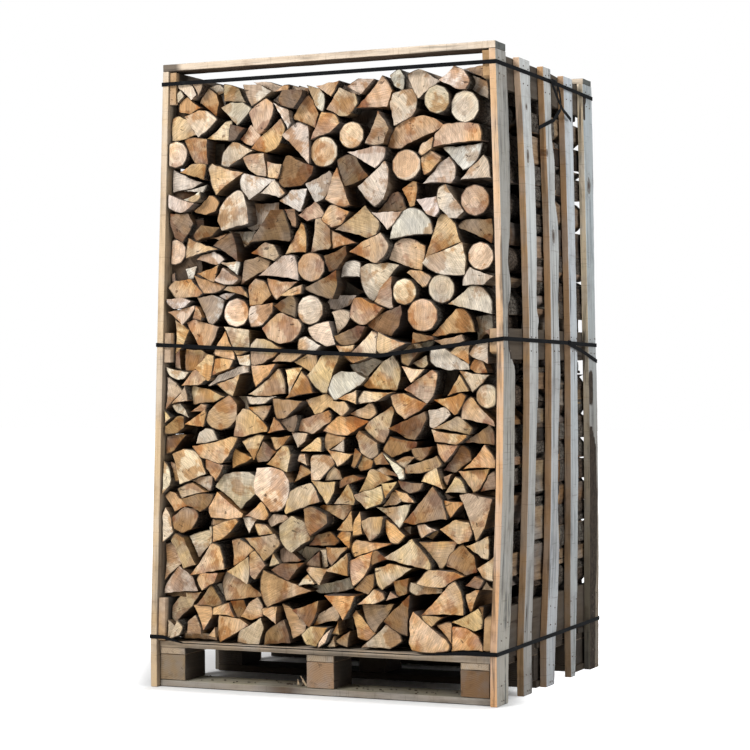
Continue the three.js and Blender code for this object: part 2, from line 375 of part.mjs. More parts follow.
o -11.8 144.2 -6.2 154 -4.9 153.3 -4.2 144.6 | k -4.6 153.8 -0.9 153.5 -1.9 145.2 -4 145
t -1.9 144.6 -0.2 155.1 1.3 155 4.8 151.3 5.3 147 4 145.3 | t 4.9 151 12.8 147 5.3 145.6
o 1.8 154.7 5 158.9 6.5 158.8 11 156.6 8.6 153 5.3 152.2
o -6.7 156.9 -1 160.7 1 159 2.6 156.4 0 155 -3.2 154.5 | b -11.6 158.2 -8 158.3 -7.7 152.8 -9.3 153.3
w -13.5 161.5 -9.8 164.3 -3.8 164.5 -6.3 157.6 -10 160.2
p -19.8 164.2 -16.2 167.3 -14.5 168.2 -10.8 164 -13.5 162.6
b -14 166.8 -11.3 175.5 -9.5 175.9 -1.5 172.2 -2 169.8 -5.5 166.4 -12 166
w -3.4 166.4 4.6 170 5.3 169 4.8 164.8 1.5 161.3 -0.4 160.7
t 3 161.4 5.2 167 7.5 170.5 9.5 165.5 11.6 159.2 9.6 158.6 | k 10.2 165.5 15 164.5 17 159.8 12 159
b 7.8 173.4 11.5 174.9 14 174 18 168 13.5 166.3 9.6 165.3 8.5 170
p 14.8 164.8 20 169 24 172.2 25.2 170 25 165 23.5 160.5 20.6 158.3
t 7 151.4 18.5 159.3 20.5 157.5 22.3 151.8 20.8 148.8 18.8 148.2
p 17.5 156.1 29.8 156 23.8 149.3 22.3 152.5 | t 12 144 18.5 148.2 22.5 149.7 26 144.5 20.8 140.1
b 2.8 142.6 9.8 145.5 10.4 142.5 7.8 139 4.6 138 | w 8.7 136.2 9.6 140.3 12.8 141 15.6 140.2 15.3 136.2
R -2.2 139.4 4.9 | b -4.8 132.6 1 135.3 6.8 137.7 7 133.5 5 129.2
k 7 135 10.5 134.6 16 131.2 13 129.8 5.8 130.3
p 15.4 138.5 18.5 140 24.5 140 28.9 139 23.5 132.5 20.3 128.3 18.6 128.6 16.4 132.3
o 31.5 136.2 33 137.3 36.5 137 39.8 135 38.4 132.6 36 131.8 33.8 133.8
o 25 141.8 26.6 145.4 30 147.4 33 147.5 38 145 37.2 141 36.6 137.8 33.5 138.5
w 26.4 147.9 27.3 152.3 30.5 156 33 157 36.5 156.2 39.6 153 40.3 149.2 35.5 148.5
t 38.3 141.8 40.3 147.5 43 154.9 45.5 154.8 48.5 151.8 50.4 146.3
p 37.3 139.6 38.5 141.2 42.5 141.8 50.6 145.2 51.6 140 51.3 135.8 42 136.5
p 51 131.6 51.3 134.8 53.2 137.6 60.6 134.8 56.5 131.6 | k 57.2 132.7 61 134.6 61 128.5 58 131
R 57 141.2 4.5 | b 49.6 151 52 152.7 60.6 152.6 61 149 60.4 145.8 56 148.4 | R 55.2 158.9 5
p 42.3 159.5 43.3 163 45.6 164 51 155.8 48.6 153.6 46 153.8 43.2 157
w 35.8 159.4 42.2 160.2 43.2 155.5 42 154.2 38.8 155.2
o 30.5 163.4 34.2 165.6 35 165.3 34.4 158.3 33.2 158
b 22.3 156.6 27 162 29 162.3 31.6 157.2 29.9 156.4 | k 35.2 165 43 164.8 42.2 160.6 35 160.2
p 37.3 165.3 40.3 168.5 42 170.3 45.5 171 47 172.8 48.5 170 48.3 166.5 47 164.9 41 165.4
p 51.2 166 53.5 168.8 58.2 172.7 59.4 171.5 60.2 166.2 | R 31.8 171 5.1
o -49.6 172.3 -45.5 174.7 -41.2 174.4 -41.8 169.8 | R -52.2 178.2 4.5
o -49.3 182.3 -46 183.7 -40.8 183.2 -40.7 175 -44 175 -47 177.2
k -40.4 182.3 -34 181.6 -35 174.6 -40.4 175
t -54.8 185 -52.8 190.3 -51 190.9 -48 189.6 -44.9 184.9 -49 183.6 -54.5 183.3
p -48.2 190.6 -43.5 192.4 -40 191.8 -37 189.4 -43.4 184
o -53 194.2 -47.8 197 -43.2 193.6 -46.8 191.9 -51.8 193.2
p -51.6 201 -48 201.8 -45.6 200.3 -44.6 197.8 -46.5 196.4 -50 199.6
p -51.7 198 -50.2 199.4 -49.2 197.4 -51 195.7 | o -45.4 201.3 -42 201.2 -43.3 197.8
o -43 195.6 -39.8 199.9 -37 197.8 -36 195 -37 190.9 -40.3 194
g -39 200.4 -35.5 201 -33.4 199 -37 197.8 | g -36.3 198 -33.5 198.5 -33.6 194.6 -36 194.9
y -33.6 200.8 -28.6 199.3 -26.2 195 -33.5 195.8
p -26.3 199.8 -21 199.6 -16 196.9 -18 195.5 -23.3 192.9
p -34.3 192.9 -31 194.2 -26.5 193.8 -23.8 191.8 -28.7 186.9
o -24.4 191 -18.3 195.3 -16.2 193.8 -15.7 191.5 -17.3 187 -20.3 183.7 -22.4 184.6
o -28.4 183.2 -25.4 186.5 -23.8 187 -20.2 183.3 -23.4 180.3 -26 181.2
y -39.8 183.2 -33 188.3 -31.2 188.5 -31.9 182.2
b -31.4 187 -29 186.3 -26.5 185.5 -28.5 182.2 -31.8 182
p -34.9 174.2 -34.2 177.5 -30.5 181 -28.6 180.7 -23.5 177.8 -29 176.6 -31.9 173.3
t -26.9 176.2 -19.6 176.8 -18.3 169.8 -21.5 170 -24.8 172.5
o -23.2 179.2 -20.5 182.8 -13 188.2 -11.3 184.8 -13 181 -15.3 178.6 -18.5 177.7
o -18.2 174 -12.8 172.8 -13.9 168.8 -18 169.5 | w -15.2 193.2 -9.3 190.4 -8.9 188 -10.3 185
p -15.6 194.6 -13.2 196.2 -13.6 193.6 | b -13.6 194.2 -12 197.4 -5.3 196.8 -6.3 192 -8 191.4 -13 192.9
o -15.8 197.2 -13.2 198.9 -10 199 -10.3 197.4 | g -10 199.3 -2.8 197.8 -3 196.4 -9.8 197.6
g -21.5 200.8 -18.5 200.8 -13 198.9 -16.5 197.5
o -9 190 -5 195.2 -2.5 195.4 -1 193.3 0.4 189.5 -0.8 185 -4.5 186.6 -8.7 188.3
w -3 198.6 1.2 197.4 2.8 195.2 2.9 192.5 2.2 190.4 -0.2 192.3 -1 195 | t 0.9 198 7.8 199 5.3 195
t 4 190.6 8.5 196.8 14 194.5 15 190.6 11 188.2 8.5 188.3
g 7.9 199 9.5 198.6 15.6 194.9 14.5 193.8 9.5 196.2 | p 11.9 197.3 15.6 199.4 19.8 199 15.9 195
o 13.8 190.8 22.6 200.6 23.6 200 26.9 195 25.4 190.5 | k 11.3 189 16 190.2 23 190.2 20.5 184.5 18 183.6
o -1.6 180.6 0.8 186.3 2.2 189.3 6.8 188.2 7.8 186 3.2 182
p -12.2 183 -6.5 186.8 -3.2 185.4 -2.2 179 -2.3 173 | R 2.7 176.8 5.2 | R 12.6 181.5 4.5
p 12 175.8 17 176.5 24.4 178 23.7 173.5 20.7 170.7
t 17.6 178.8 22.2 188 24 185.5 25.8 182 24.6 178.5 20 178
t 23.8 176.3 26.2 181.6 30 184.8 34 186.2 38.2 186.5 42 185.2 44.3 183.4 41.5 181.6 27 175.9
p 26.2 191.5 26.9 194.2 34 195.3 35.5 192.5 35.2 189 33.3 186.3 28 184
w 26.7 200.2 29.6 201.8 31.2 199.5 30.8 195.6 28 197 | g 31.2 199.8 34.3 196 33.8 195.4 31.2 195.5
p 32.6 199.8 36.5 201.1 38.6 200.2 43.6 196.6 40.5 195.5 36.4 191.9 34.8 195.8 | R 42.5 191.2 4.6
R 52 188.6 5.2 | p 43.8 197.3 48.5 201.2 51.3 200 53.4 196.3 52 194.2 50 194.3
g 51.6 199.8 60.3 196 60.4 191.2 53.5 195.6 | p 52.5 200.5 58.3 201.2 58.6 197.5
o 41 179.3 44.8 183 50 182.6 56.3 182.6 57.3 180 57 177.4 50 177.4 40.5 176
o 36.3 174.6 37.5 177.3 39.5 178 41 179 41 176.2 37.2 173.7
w 44.6 175.8 46.8 176.8 57.3 176.8 56.6 173.3 54 170 51 168.9
o 37 173.2 40 175.1 43.6 172.8 41.6 169.5 38 168 37.2 170.5 | k 57.6 182 61 181.5 61 173 59 173.5
n -51 188 -45.5 188 -45.5 195 -51 195 | n -51.5 161 -45 161 -45 168 -51.5 168
n -53 136.5 -43 136.5 -43 144.5 -53 144.5 | n -57 29 -50.5 29 -50.5 35 -57 35
n -50 150.5 -42 150.5 -42 155.5 -50 155.5 | n -55.5 157 -47 157 -47 160.5 -55.5 160.5
`;

// Reads the table into logs: tone, outline or circle, in the upright crate.
const SIGHT_X = 3000;           // the point from which the outlines line up with the log ends
const SIGHT_Y = 6260;
const READ_Y = -480;            // plane the outlines were read in
const END_Y = -497;             // no log end stands in front of this
const LEAST_SETBACK = 4;
const MORE_SETBACK = 40;
const BACK_Y = 494;
const FILLING = 'kgn';          // tones that only fill the dark gaps and are left out of the solids
const ROUND_SIDES = 10;
const SEAM = 0.5;               // how far touching splits run into each other
const GROWTH = 4;               // how far an outline is pushed out on every side
const MOST_CORNERS = 4;         // of a small split; a large one keeps one more
const LARGE_SPLIT = 7000;       // square millimetres
const LEAST_SPLIT = 800;
const CORNER_SHARE = 0.06;      // a corner worth less of the area is dropped

function readLogs() {
  const rows = LOG_ENDS.trim().split(/[|\n]/).map((row) => row.trim().split(/\s+/));
  return rows.filter(([tone]) => !FILLING.includes(tone)).map(([tone, ...text]) => {
    const n = text.map((t) => 10 * Number(t));
    const r = random();
    const front = END_Y + LEAST_SETBACK + MORE_SETBACK * r * r;
    const place = (x, z) => {
      const real = x - (SIGHT_X - x) / SIGHT_Y * (front - READ_Y);
      return [unsettle(real, READ_Y, z), z];
    };
    let ring = [];
    if (tone === 'R') {
      const [x, z] = place(n[0], n[1]);
      for (let i = 0; i < ROUND_SIDES; i++) {
        const a = (i + 0.5) * 2 * Math.PI / ROUND_SIDES;
        ring.push([x + n[2] * Math.cos(a), z + n[2] * Math.sin(a)]);
      }
    } else {
      for (let i = 0; i < n.length; i += 2) ring.push(place(n[i], n[i + 1]));
      ring = grow(hull(ring), GROWTH);
    }
    return { tone, front, ring, walls: [] };
  });
}

// Bounds of the wood in the upright crate: the deck, the slats and the rails.
const WOOD_CLEAR = 5;
const HEADROOM = 8;
const SIDE_X = SLAT_OUT - SLAT_T - WOOD_CLEAR;
const RAIL_X = SIDE_X - RAIL_GAP - RAIL_T;
function atRail(ring) {
  const zs = ring.map((p) => p[1]);
  const low = Math.min(...zs);
  const high = Math.max(...zs);
  return Object.values(RAILS).some(([a, b]) => low < b && high > a);
}
function bound(ring) {
  const side = atRail(ring) ? RAIL_X : SIDE_X;
  let out = clip(ring, 1, 0, side);
  out = clip(out, -1, 0, side);
  out = clip(out, 0, -1, -(DECK_TOP + GAP));
  return clip(out, 0, 1, SLAT_TOP - HEADROOM);
}
// Splits the overlap of every two logs between them, so that they lie side by side.
function settleLogs(logs) {
  const all = logs.map((log) => ({ ...log, ring: bound(log.ring) }));
  const touches = [];
  for (let i = 0; i < all.length; i++) {
    for (let j = i + 1; j < all.length; j++) {
      const a = all[i];
      const b = all[j];
      if (a.ring.length < 3 || b.ring.length < 3) continue;
      const o = overlap(a.ring, b.ring);
      if (!o) continue;
      const aRound = a.tone === 'R';
      const bRound = b.tone === 'R';
      let middle = (o.far + o.near) / 2;
      if (aRound && !bRound) middle = o.far;
      if (bRound && !aRound) middle = o.near;
      a.ring = clip(a.ring, o.n[0], o.n[1], middle);
      b.ring = clip(b.ring, -o.n[0], -o.n[1], -middle);
      touches.push({ i, j, n: o.n, middle });
    }
  }
  return { all, touches };
}

const ON_LINE = 0.15;           // millimetres from a seam that still count as on it
const LEAST_SEAM = 3;
const PULL = 2;                 // how far a pulled corner runs into its neighbour
const OFF_CORNER = 0.15;        // share of an edge, at either end, that no corner is pulled to
// The stretch of a ring that lies on the line n . p = middle, measured along the line.
function stretch(ring, n, middle) {
  const at = ring.filter(([x, z]) => Math.abs(x * n[0] + z * n[1] - middle) < ON_LINE);
  const s = at.map(([x, z]) => z * n[0] - x * n[1]);
  return s.length < 2 ? null : [Math.min(...s), Math.max(...s)];
}
function nudge(ring, n, middle, by) {
  return ring.map(([x, z]) => {
    const on = Math.abs(x * n[0] + z * n[1] - middle) < ON_LINE;
    return on ? [x + n[0] * by, z + n[1] * by] : [x, z];
  });
}
function nearest(a, b) {
  let best = { gap: Infinity };
  a.forEach((p, k) => {
    if (p.held) return;
    b.forEach((q, m) => {
      const r = b[(m + 1) % b.length];
      const dx = r[0] - q[0];
      const dz = r[1] - q[1];
      const t = ((p[0] - q[0]) * dx + (p[1] - q[1]) * dz) / (dx * dx + dz * dz || 1);
      const u = Math.max(OFF_CORNER, Math.min(1 - OFF_CORNER, t));
      const to = [q[0] + u * dx, q[1] + u * dz];
      const gap = Math.hypot(to[0] - p[0], to[1] - p[1]);
      if (gap < best.gap) best = { gap, k, to, edge: m };
    });
  });
  return best;
}
function middleOf(ring) {
  const n = ring.length;
  return ring.reduce((sum, p) => [sum[0] + p[0] / n, sum[1] + p[1] / n], [0, 0]);
}
// Joins the splits that touch into one tree, and leaves hair gaps at all other touches.
function joinTree(logs, touches) {
  const group = logs.map((_, i) => i);
  const root = (i) => (group[i] === i ? i : root(group[i]));
  const found = touches.map((t) => {
    const a = stretch(logs[t.i].ring, t.n, t.middle);
    const b = stretch(logs[t.j].ring, t.n, t.middle);
    const length = a && b ? Math.min(a[1], b[1]) - Math.max(a[0], b[0]) : 0;
    return { ...t, length };
  });
  found.sort((p, q) => q.length - p.length);
  for (const t of found) {
    const a = logs[t.i];
    const b = logs[t.j];
    const free = !a.own && !b.own;
    const join = free && t.length > LEAST_SEAM && root(t.i) !== root(t.j);
    if (join) group[root(t.i)] = root(t.j);
    const by = join ? SEAM : -GAP / 2;
    if (!a.own) a.ring = nudge(a.ring, t.n, t.middle, free ? by : -GAP);
    if (!b.own) b.ring = nudge(b.ring, [-t.n[0], -t.n[1]], -t.middle, free ? by : -GAP);
  }
  for (;;) {
    const ids = logs.map((l, i) => (l.own ? -1 : root(i)));
    const size = {};
    ids.forEach((g) => { if (g >= 0) size[g] = (size[g] || 0) + 1; });
    const groups = Object.keys(size).map(Number).sort((p, q) => size[p] - size[q]);
    if (groups.length < 2) break;
    let best = { gap: Infinity };
    logs.forEach((a, i) => {
      if (ids[i] !== groups[0]) return;
      logs.forEach((b, j) => {
        if (ids[j] < 0 || ids[j] === groups[0]) return;
        const m = nearest(a.ring, b.ring);
        if (m.gap < best.gap) best = { ...m, a: i, b: j };
        const w = nearest(b.ring, a.ring);
        if (w.gap < best.gap) best = { ...w, a: j, b: i };
      });
    });
    const p = logs[best.a].ring[best.k];
    const c = middleOf(logs[best.b].ring);
    const l = Math.hypot(c[0] - best.to[0], c[1] - best.to[1]);
    const was = [p[0], p[1]];
    p[0] = best.to[0] + PULL * (c[0] - best.to[0]) / l;
    p[1] = best.to[1] + PULL * (c[1] - best.to[1]) / l;
    p.held = true;
    if (logs.some((o) => o.own && overlap(logs[best.a].ring, o.ring))) {
      p[0] = was[0];
      p[1] = was[1];
      continue;
    }
    const other = logs[best.b].ring;
    other[best.edge].held = true;
    other[(best.edge + 1) % other.length].held = true;
    group[root(best.a)] = root(best.b);
  }
}
function ringPrism(ring, front, back) {
  const n = ring.length;
  const xyz = [];
  ring.forEach(([x, z]) => xyz.push(x, front, z));
  ring.forEach(([x, z]) => xyz.push(x, back, z));
  const tri = [];
  for (let i = 0; i < n; i++) {
    const j = (i + 1) % n;
    tri.push(i, i + n, j, j, i + n, j + n);
    if (i > 0 && i < n - 1) {
      tri.push(0, i, i + 1);
      tri.push(n, n + i + 1, n + i);
    }
  }
  return new wasm.Manifold(new wasm.Mesh({
    numProp: 3, vertProperties: new Float32Array(xyz), triVerts: new Uint32Array(tri),
  }));
}

function meshOf(manifold) {
  const m = manifold.getMesh();
  const geometry = new THREE.BufferGeometry();
  geometry.setAttribute('position', new THREE.BufferAttribute(new Float32Array(m.vertProperties), 3));
  geometry.setIndex([...m.triVerts]);
  return geometry;
}
function solidOf(geometry) {
  const g = geometry.clone();
  g.deleteAttribute('normal');
  g.deleteAttribute('uv');
  const merged = mergeVertices(g, 1e-4);
  return new wasm.Manifold(new wasm.Mesh({
    numProp: 3,
    vertProperties: new Float32Array(merged.attributes.position.array),
    triVerts: new Uint32Array(merged.index.array),
  }));
}
function addAll(list) {
  let rest = list;
  while (rest.length > 1) {
    const next = [];
    for (let i = 0; i < rest.length; i += 2) {
      next.push(i + 1 < rest.length ? rest[i].add(rest[i + 1]) : rest[i]);
    }
    rest = next;
  }
  return rest[0];
}

const group = new THREE.Group();
group.name = 'crate_of_firewood';
const LOOKS = {
  slat: [0x9c9a96, 0.9], rail: [0x8d7a63, 0.9], batten: [0xc79a5e, 0.85],
  pallet: [0x8a7a66, 0.92], firewood: [0xc9a678, 0.9], strap: [0x1c222c, 0.5],
};
function put(name, geometry, look) {
  const flat = geometry.index ? geometry.toNonIndexed() : geometry;
  flat.deleteAttribute('uv');
  flat.computeVertexNormals();
  flat.translate(SHIFT_X, SHIFT_Y, 0);
  const [color, roughness] = LOOKS[look];
  const mesh = new THREE.Mesh(flat, new THREE.MeshStandardMaterial({ color, roughness, metalness: 0 }));
  mesh.name = name;
  group.add(mesh);
}
function settled(geometry) {
  const p = geometry.attributes.position;
  for (let i = 0; i < p.count; i++) {
    p.setX(i, settle(p.getX(i), p.getY(i), p.getZ(i)));
  }
  return geometry;
}
// Joins sections of four corners each; the corners run so that the faces point out.
function loft(sections, closed = false) {
  const n = sections[0].length;
  const xyz = sections.flat(2);
  const tri = [];
  const count = closed ? sections.length : sections.length - 1;
  for (let s = 0; s < count; s++) {
    const a = s * n;
    const b = ((s + 1) % sections.length) * n;
    for (let i = 0; i < n; i++) {
      const j = (i + 1) % n;
      tri.push(a + i, a + j, b + i, a + j, b + j, b + i);
    }
  }
  if (!closed) {
    const last = (sections.length - 1) * n;
    for (let i = 1; i < n - 1; i++) {
      tri.push(0, i + 1, i, last, last + i, last + i + 1);
    }
  }
  const geometry = new THREE.BufferGeometry();
  geometry.setAttribute('position', new THREE.BufferAttribute(new Float32Array(xyz), 3));
  geometry.setIndex(tri);
  return geometry;
}
function block(x, y, z) {
  const geometry = new THREE.BoxGeometry(x[1] - x[0], y[1] - y[0], z[1] - z[0]);
  geometry.translate((x[0] + x[1]) / 2, (y[0] + y[1]) / 2, (z[0] + z[1]) / 2);
  return geometry;
}

// Pallet: bottom boards, blocks, stringers and deck, with hair gaps between them
const END_X = SLAT_OUT - SLAT_T - 1;
const COLUMNS = { left: [-END_X, -500], middle: [-BLOCK_X / 2, BLOCK_X / 2], right: [490, 590] };
const BLOCK_ROWS = { front: -PALLET_HALF_Y, middle: -BLOCK_Y / 2, back: PALLET_HALF_Y - BLOCK_Y };
const DECK_BOARDS = 7;
const DECK_W = 118;
const levels = [0, BOARD_T, BOARD_T + BLOCK_H, 2 * BOARD_T + BLOCK_H, DECK_TOP];
const layer = (i) => [levels[i] + (i ? GAP : 0), levels[i + 1]];
for (const [row, y] of Object.entries(BLOCK_ROWS)) {
  put(`bottom_board_${row}`, block([-END_X, END_X], [y, y + BLOCK_Y], layer(0)), 'pallet');
  for (const [column, x] of Object.entries(COLUMNS)) {
    put(`block_${row}_${column}`, block(x, [y, y + BLOCK_Y], layer(1)), 'pallet');
  }
}
for (const [column, x] of Object.entries(COLUMNS)) {
  put(`stringer_${column}`, block(x, [-PALLET_HALF_Y, PALLET_HALF_Y], layer(2)), 'pallet');
}
for (let i = 0; i < DECK_BOARDS; i++) {
  const y = -PALLET_HALF_Y + i * (2 * PALLET_HALF_Y - DECK_W) / (DECK_BOARDS - 1);
  put(`deck_board_${i + 1}`, block([-END_X, END_X], [y, y + DECK_W], layer(3)), 'pallet');
}

// Slats: front and back edges as [z, y]; the seen ones have wavy live edges
const RIGHT_SLATS = [
  {
    front: [[0, -500], [2060, -500]],
    back: [[0, -400], [150, -392], [400, -386], [700, -392], [1050, -394], [1090, -424],
      [1140, -448], [1230, -444], [1320, -420], [1400, -438], [1500, -415], [1720, -398],
      [2060, -404]],
  },
  {
    front: [[0, -258], [600, -261], [1200, -256], [1700, -262], [1900, -266], [2060, -282]],
    back: [[0, -178], [400, -185], [720, -192], [900, -182], [1000, -170], [1190, -173],
      [1215, -160], [1250, -177], [1450, -164], [1710, -164], [1790, -183], [2060, -180]],
  },
  {
    front: [[0, -40], [500, -31], [900, -42], [1540, -36], [2060, -50]],
    back: [[0, 40], [200, 61], [450, 65], [600, 40], [800, 34], [1050, 53], [1270, 40],
      [1450, 60], [1550, 56], [1610, 32], [1750, 39], [1850, 16], [1950, 24], [2060, 26]],
  },
  {
    front: [[0, 212], [300, 206], [900, 212], [1400, 214], [1850, 199], [2060, 197]],
    back: [[0, 258], [300, 280], [700, 294], [1100, 290], [1540, 293], [2060, 295]],
  },
  {
    front: [[0, 420], [300, 419], [700, 429], [1100, 420], [1700, 416], [2060, 412]],
    back: [[0, 512], [500, 524], [900, 520], [1200, 507], [1540, 513], [1850, 519], [2060, 516]],
  },
];
const LEFT_SLATS = [
  { front: [[0, -500], [2060, -500]], back: [[0, -402], [700, -396], [1400, -405], [2060, -399]] },
  { front: [[0, -252], [2060, -262]], back: [[0, -166], [800, -160], [1500, -172], [2060, -168]] },
  { front: [[0, -46], [2060, -38]], back: [[0, 44], [600, 52], [1300, 41], [2060, 47]] },
  { front: [[0, 176], [2060, 190]], back: [[0, 268], [900, 262], [1600, 277], [2060, 270]] },
  { front: [[0, 412], [2060, 408]], back: [[0, 508], [700, 502], [1500, 510], [2060, 504]] },
];
const SLAT_STEPS = [0, 150, 600, 1100, 1600, 2060];
function slat(side, rows) {
  const zs = [...SLAT_STEPS, ...rows.back.map((r) => r[0]).filter((z) => !SLAT_STEPS.includes(z))];
  zs.sort((a, b) => a - b);
  const near = side * SLAT_OUT;
  const far = side * (SLAT_OUT - SLAT_T);
  const [x0, x1] = [Math.min(near, far), Math.max(near, far)];
  return loft(zs.map((z) => {
    const y0 = along(rows.front, z);
    const y1 = along(rows.back, z);
    return [[x0, y0, z], [x1, y0, z], [x1, y1, z], [x0, y1, z]];
  }));
}
RIGHT_SLATS.forEach((rows, i) => put(`slat_right_${i + 1}`, settled(slat(1, rows)), 'slat'));
LEFT_SLATS.forEach((rows, i) => put(`slat_left_${i + 1}`, settled(slat(-1, rows)), 'slat'));

// Rails inside the slats; the front ends of the right ones are cut in by bark edges
const RAIL_END = { bottom: [175, 272], middle: [1112, 1184], top: [1977, 2056] };
const RAIL_FULL_Y = -425;
function rail(side, name) {
  const near = side * (SLAT_OUT - SLAT_T - RAIL_GAP);
  const far = near - side * RAIL_T;
  const [x0, x1] = [Math.min(near, far), Math.max(near, far)];
  const full = RAILS[name];
  const ys = side > 0 ? [RAIL_Y[0], RAIL_FULL_Y, 70, 200, RAIL_Y[1]] : RAIL_Y;
  return loft(ys.map((y, i) => {
    const [z0, z1] = side > 0 && i === 0 ? RAIL_END[name] : full;
    return [[x0, y, z0], [x0, y, z1], [x1, y, z1], [x1, y, z0]];
  }));
}
for (const name of Object.keys(RAILS)) {
  put(`rail_right_${name}`, settled(rail(1, name)), 'rail');
  put(`rail_left_${name}`, settled(rail(-1, name)), 'rail');
}

// Battens over the slat heads
const BATTEN_W = 94;
const BACK_BATTEN_T = 20;
const headX = (y) => [settle(-SLAT_OUT, y, SLAT_TOP), settle(SLAT_OUT, y, SLAT_TOP)];
put('top_batten_front', block(
  headX(FRONT_Y), [FRONT_Y, FRONT_Y + BATTEN_W], [SLAT_TOP + GAP, SLAT_TOP + BATTEN_T],
), 'batten');
put('top_batten_back', block(
  headX(500), [512 - BATTEN_W, 512], [SLAT_TOP + GAP, SLAT_TOP + BACK_BATTEN_T],
), 'batten');

// Straps: taut bands over the outer corners of the slats
const STRAP_W = 13;
const STRAP_T = 1.4;
const STRAP_OFF = 0.6;
function strapCorners(z) {
  const points = [];
  RIGHT_SLATS.forEach((rows) => [rows.front, rows.back].forEach((edge) => {
    const y = along(edge, z);
    points.push([settle(SLAT_OUT, y, z), y]);
  }));
  LEFT_SLATS.forEach((rows) => [rows.front, rows.back].forEach((edge) => {
    const y = along(edge, z);
    points.push([settle(-SLAT_OUT, y, z), y]);
  }));
  return hull(points);
}
function offsetRing(ring, by) {
  return ring.map((p, i) => {
    const a = ring[(i + ring.length - 1) % ring.length];
    const b = ring[(i + 1) % ring.length];
    const [n, m] = [normals([a, p])[0], normals([p, b])[0]];
    const k = by / (1 + n[0] * m[0] + n[1] * m[1]);
    return [p[0] + k * (n[0] + m[0]), p[1] + k * (n[1] + m[1])];
  });
}
// A closed band round the corners. Where it lies flat its width runs inwards instead of up.
function band(corners, heightOf, liesFlat = () => false) {
  const inner = offsetRing(corners, STRAP_OFF);
  const outer = offsetRing(corners, STRAP_OFF + STRAP_T);
  const deep = offsetRing(corners, STRAP_OFF + STRAP_T - STRAP_W);
  return loft(corners.map(([x, y], i) => {
    const flat = liesFlat(x, y);
    const back = flat ? deep[i] : inner[i];
    const z0 = heightOf(x, y) - (flat ? STRAP_T : STRAP_W) / 2;
    const z1 = heightOf(x, y) + (flat ? STRAP_T : STRAP_W) / 2;
    return [
      [...back, z0], [...back, z1], [...outer[i], z1], [...outer[i], z0],
    ];
  }), true);
}
// A loose end or a second strand lying flat on the right side: path of [y, z, distance out]
function strand(path) {
  return loft(path.map(([y, z, out], i) => {
    const a = path[Math.max(i - 1, 0)];
    const b = path[Math.min(i + 1, path.length - 1)];
    const l = Math.hypot(b[0] - a[0], b[1] - a[1]);
    const ny = -(b[1] - a[1]) / l * STRAP_W / 2;
    const nz = (b[0] - a[0]) / l * STRAP_W / 2;
    const x = settle(SLAT_OUT, y, z) + out;
    return [
      [x, y - ny, z - nz], [x, y + ny, z + nz],
      [x + STRAP_T, y + ny, z + nz], [x + STRAP_T, y - ny, z - nz],
    ];
  }));
}
function knot(y, z, half) {
  const geometry = new THREE.IcosahedronGeometry(1, 0);
  geometry.scale(half[0], half[1], half[2]);
  geometry.translate(settle(SLAT_OUT, y, z) + half[0] + STRAP_OFF, y, z);
  return geometry;
}
const TOP_Z = 2018;
const TOP_TAILS = [
  [[20, 2012, 5], [45, 1985, 7], [75, 1958, 9], [130, 1935, 10], [236, 1912, 11]],
  [[70, 2014, 6], [94, 1990, 8], [105, 1960, 9], [92, 1930, 9], [20, 1889, 8], [-128, 1848, 6]],
];
const topStrap = addAll([
  solidOf(band(strapCorners(TOP_Z), () => TOP_Z)),
  solidOf(knot(38, TOP_Z - 2, [6, 38, 13])),
  ...TOP_TAILS.map((path) => solidOf(strand(path))),
]);
put('strap_top', meshOf(topStrap), 'strap');

const MIDDLE_Z = 1147;
const DIP = [228, 1103];
const MIDDLE_KNOT_Y = 160;
const middleCorners = strapCorners(MIDDLE_Z);
const frontRight = middleCorners.findIndex(([x, y]) => x > 0 && y < FRONT_Y + 1);
middleCorners.splice(frontRight, 0, [DIP[0], FRONT_Y]);
function middleHeight(x, y) {
  if (x === DIP[0]) return DIP[1];
  return x > 0 ? 1152 - 11 * (y - FRONT_Y) / 1000 : MIDDLE_Z;
}
const SECOND_STRAND = [[MIDDLE_KNOT_Y - 20, 1146, 2.2], [330, 1120, 2.4], [508, 1084, 2.2]];
const middleStrap = addAll([
  solidOf(band(middleCorners, middleHeight)),
  solidOf(knot(MIDDLE_KNOT_Y, 1145, [8, 24, 11])),
  solidOf(strand(SECOND_STRAND)),
]);
put('strap_middle', meshOf(middleStrap), 'strap');

// The bottom strap turns flat along the front and lies close before the edge of the deck.
const LOW_Z = 168;
const LOW_RISE = 4;             // how much higher it runs at the back of the right side
const LOW_FLAT_Z = 150;
const LOW_TURNS = [-572, -500, 350, 520];
const lowCorners = strapCorners(LOW_Z);
const lowFrontRight = lowCorners.findIndex(([x, y]) => x > 0 && y < FRONT_Y + 1);
lowCorners.splice(lowFrontRight, 0, ...LOW_TURNS.map((x) => [x, FRONT_Y]));
const lowIsFlat = (x, y) => y < FRONT_Y + 1 && (x === LOW_TURNS[1] || x === LOW_TURNS[2]);
function lowHeight(x, y) {
  if (lowIsFlat(x, y)) return LOW_FLAT_Z;
  return x > 0 ? LOW_Z + LOW_RISE * y / -FRONT_Y : LOW_Z;
}
put('strap_bottom', band(lowCorners, lowHeight, lowIsFlat), 'strap');

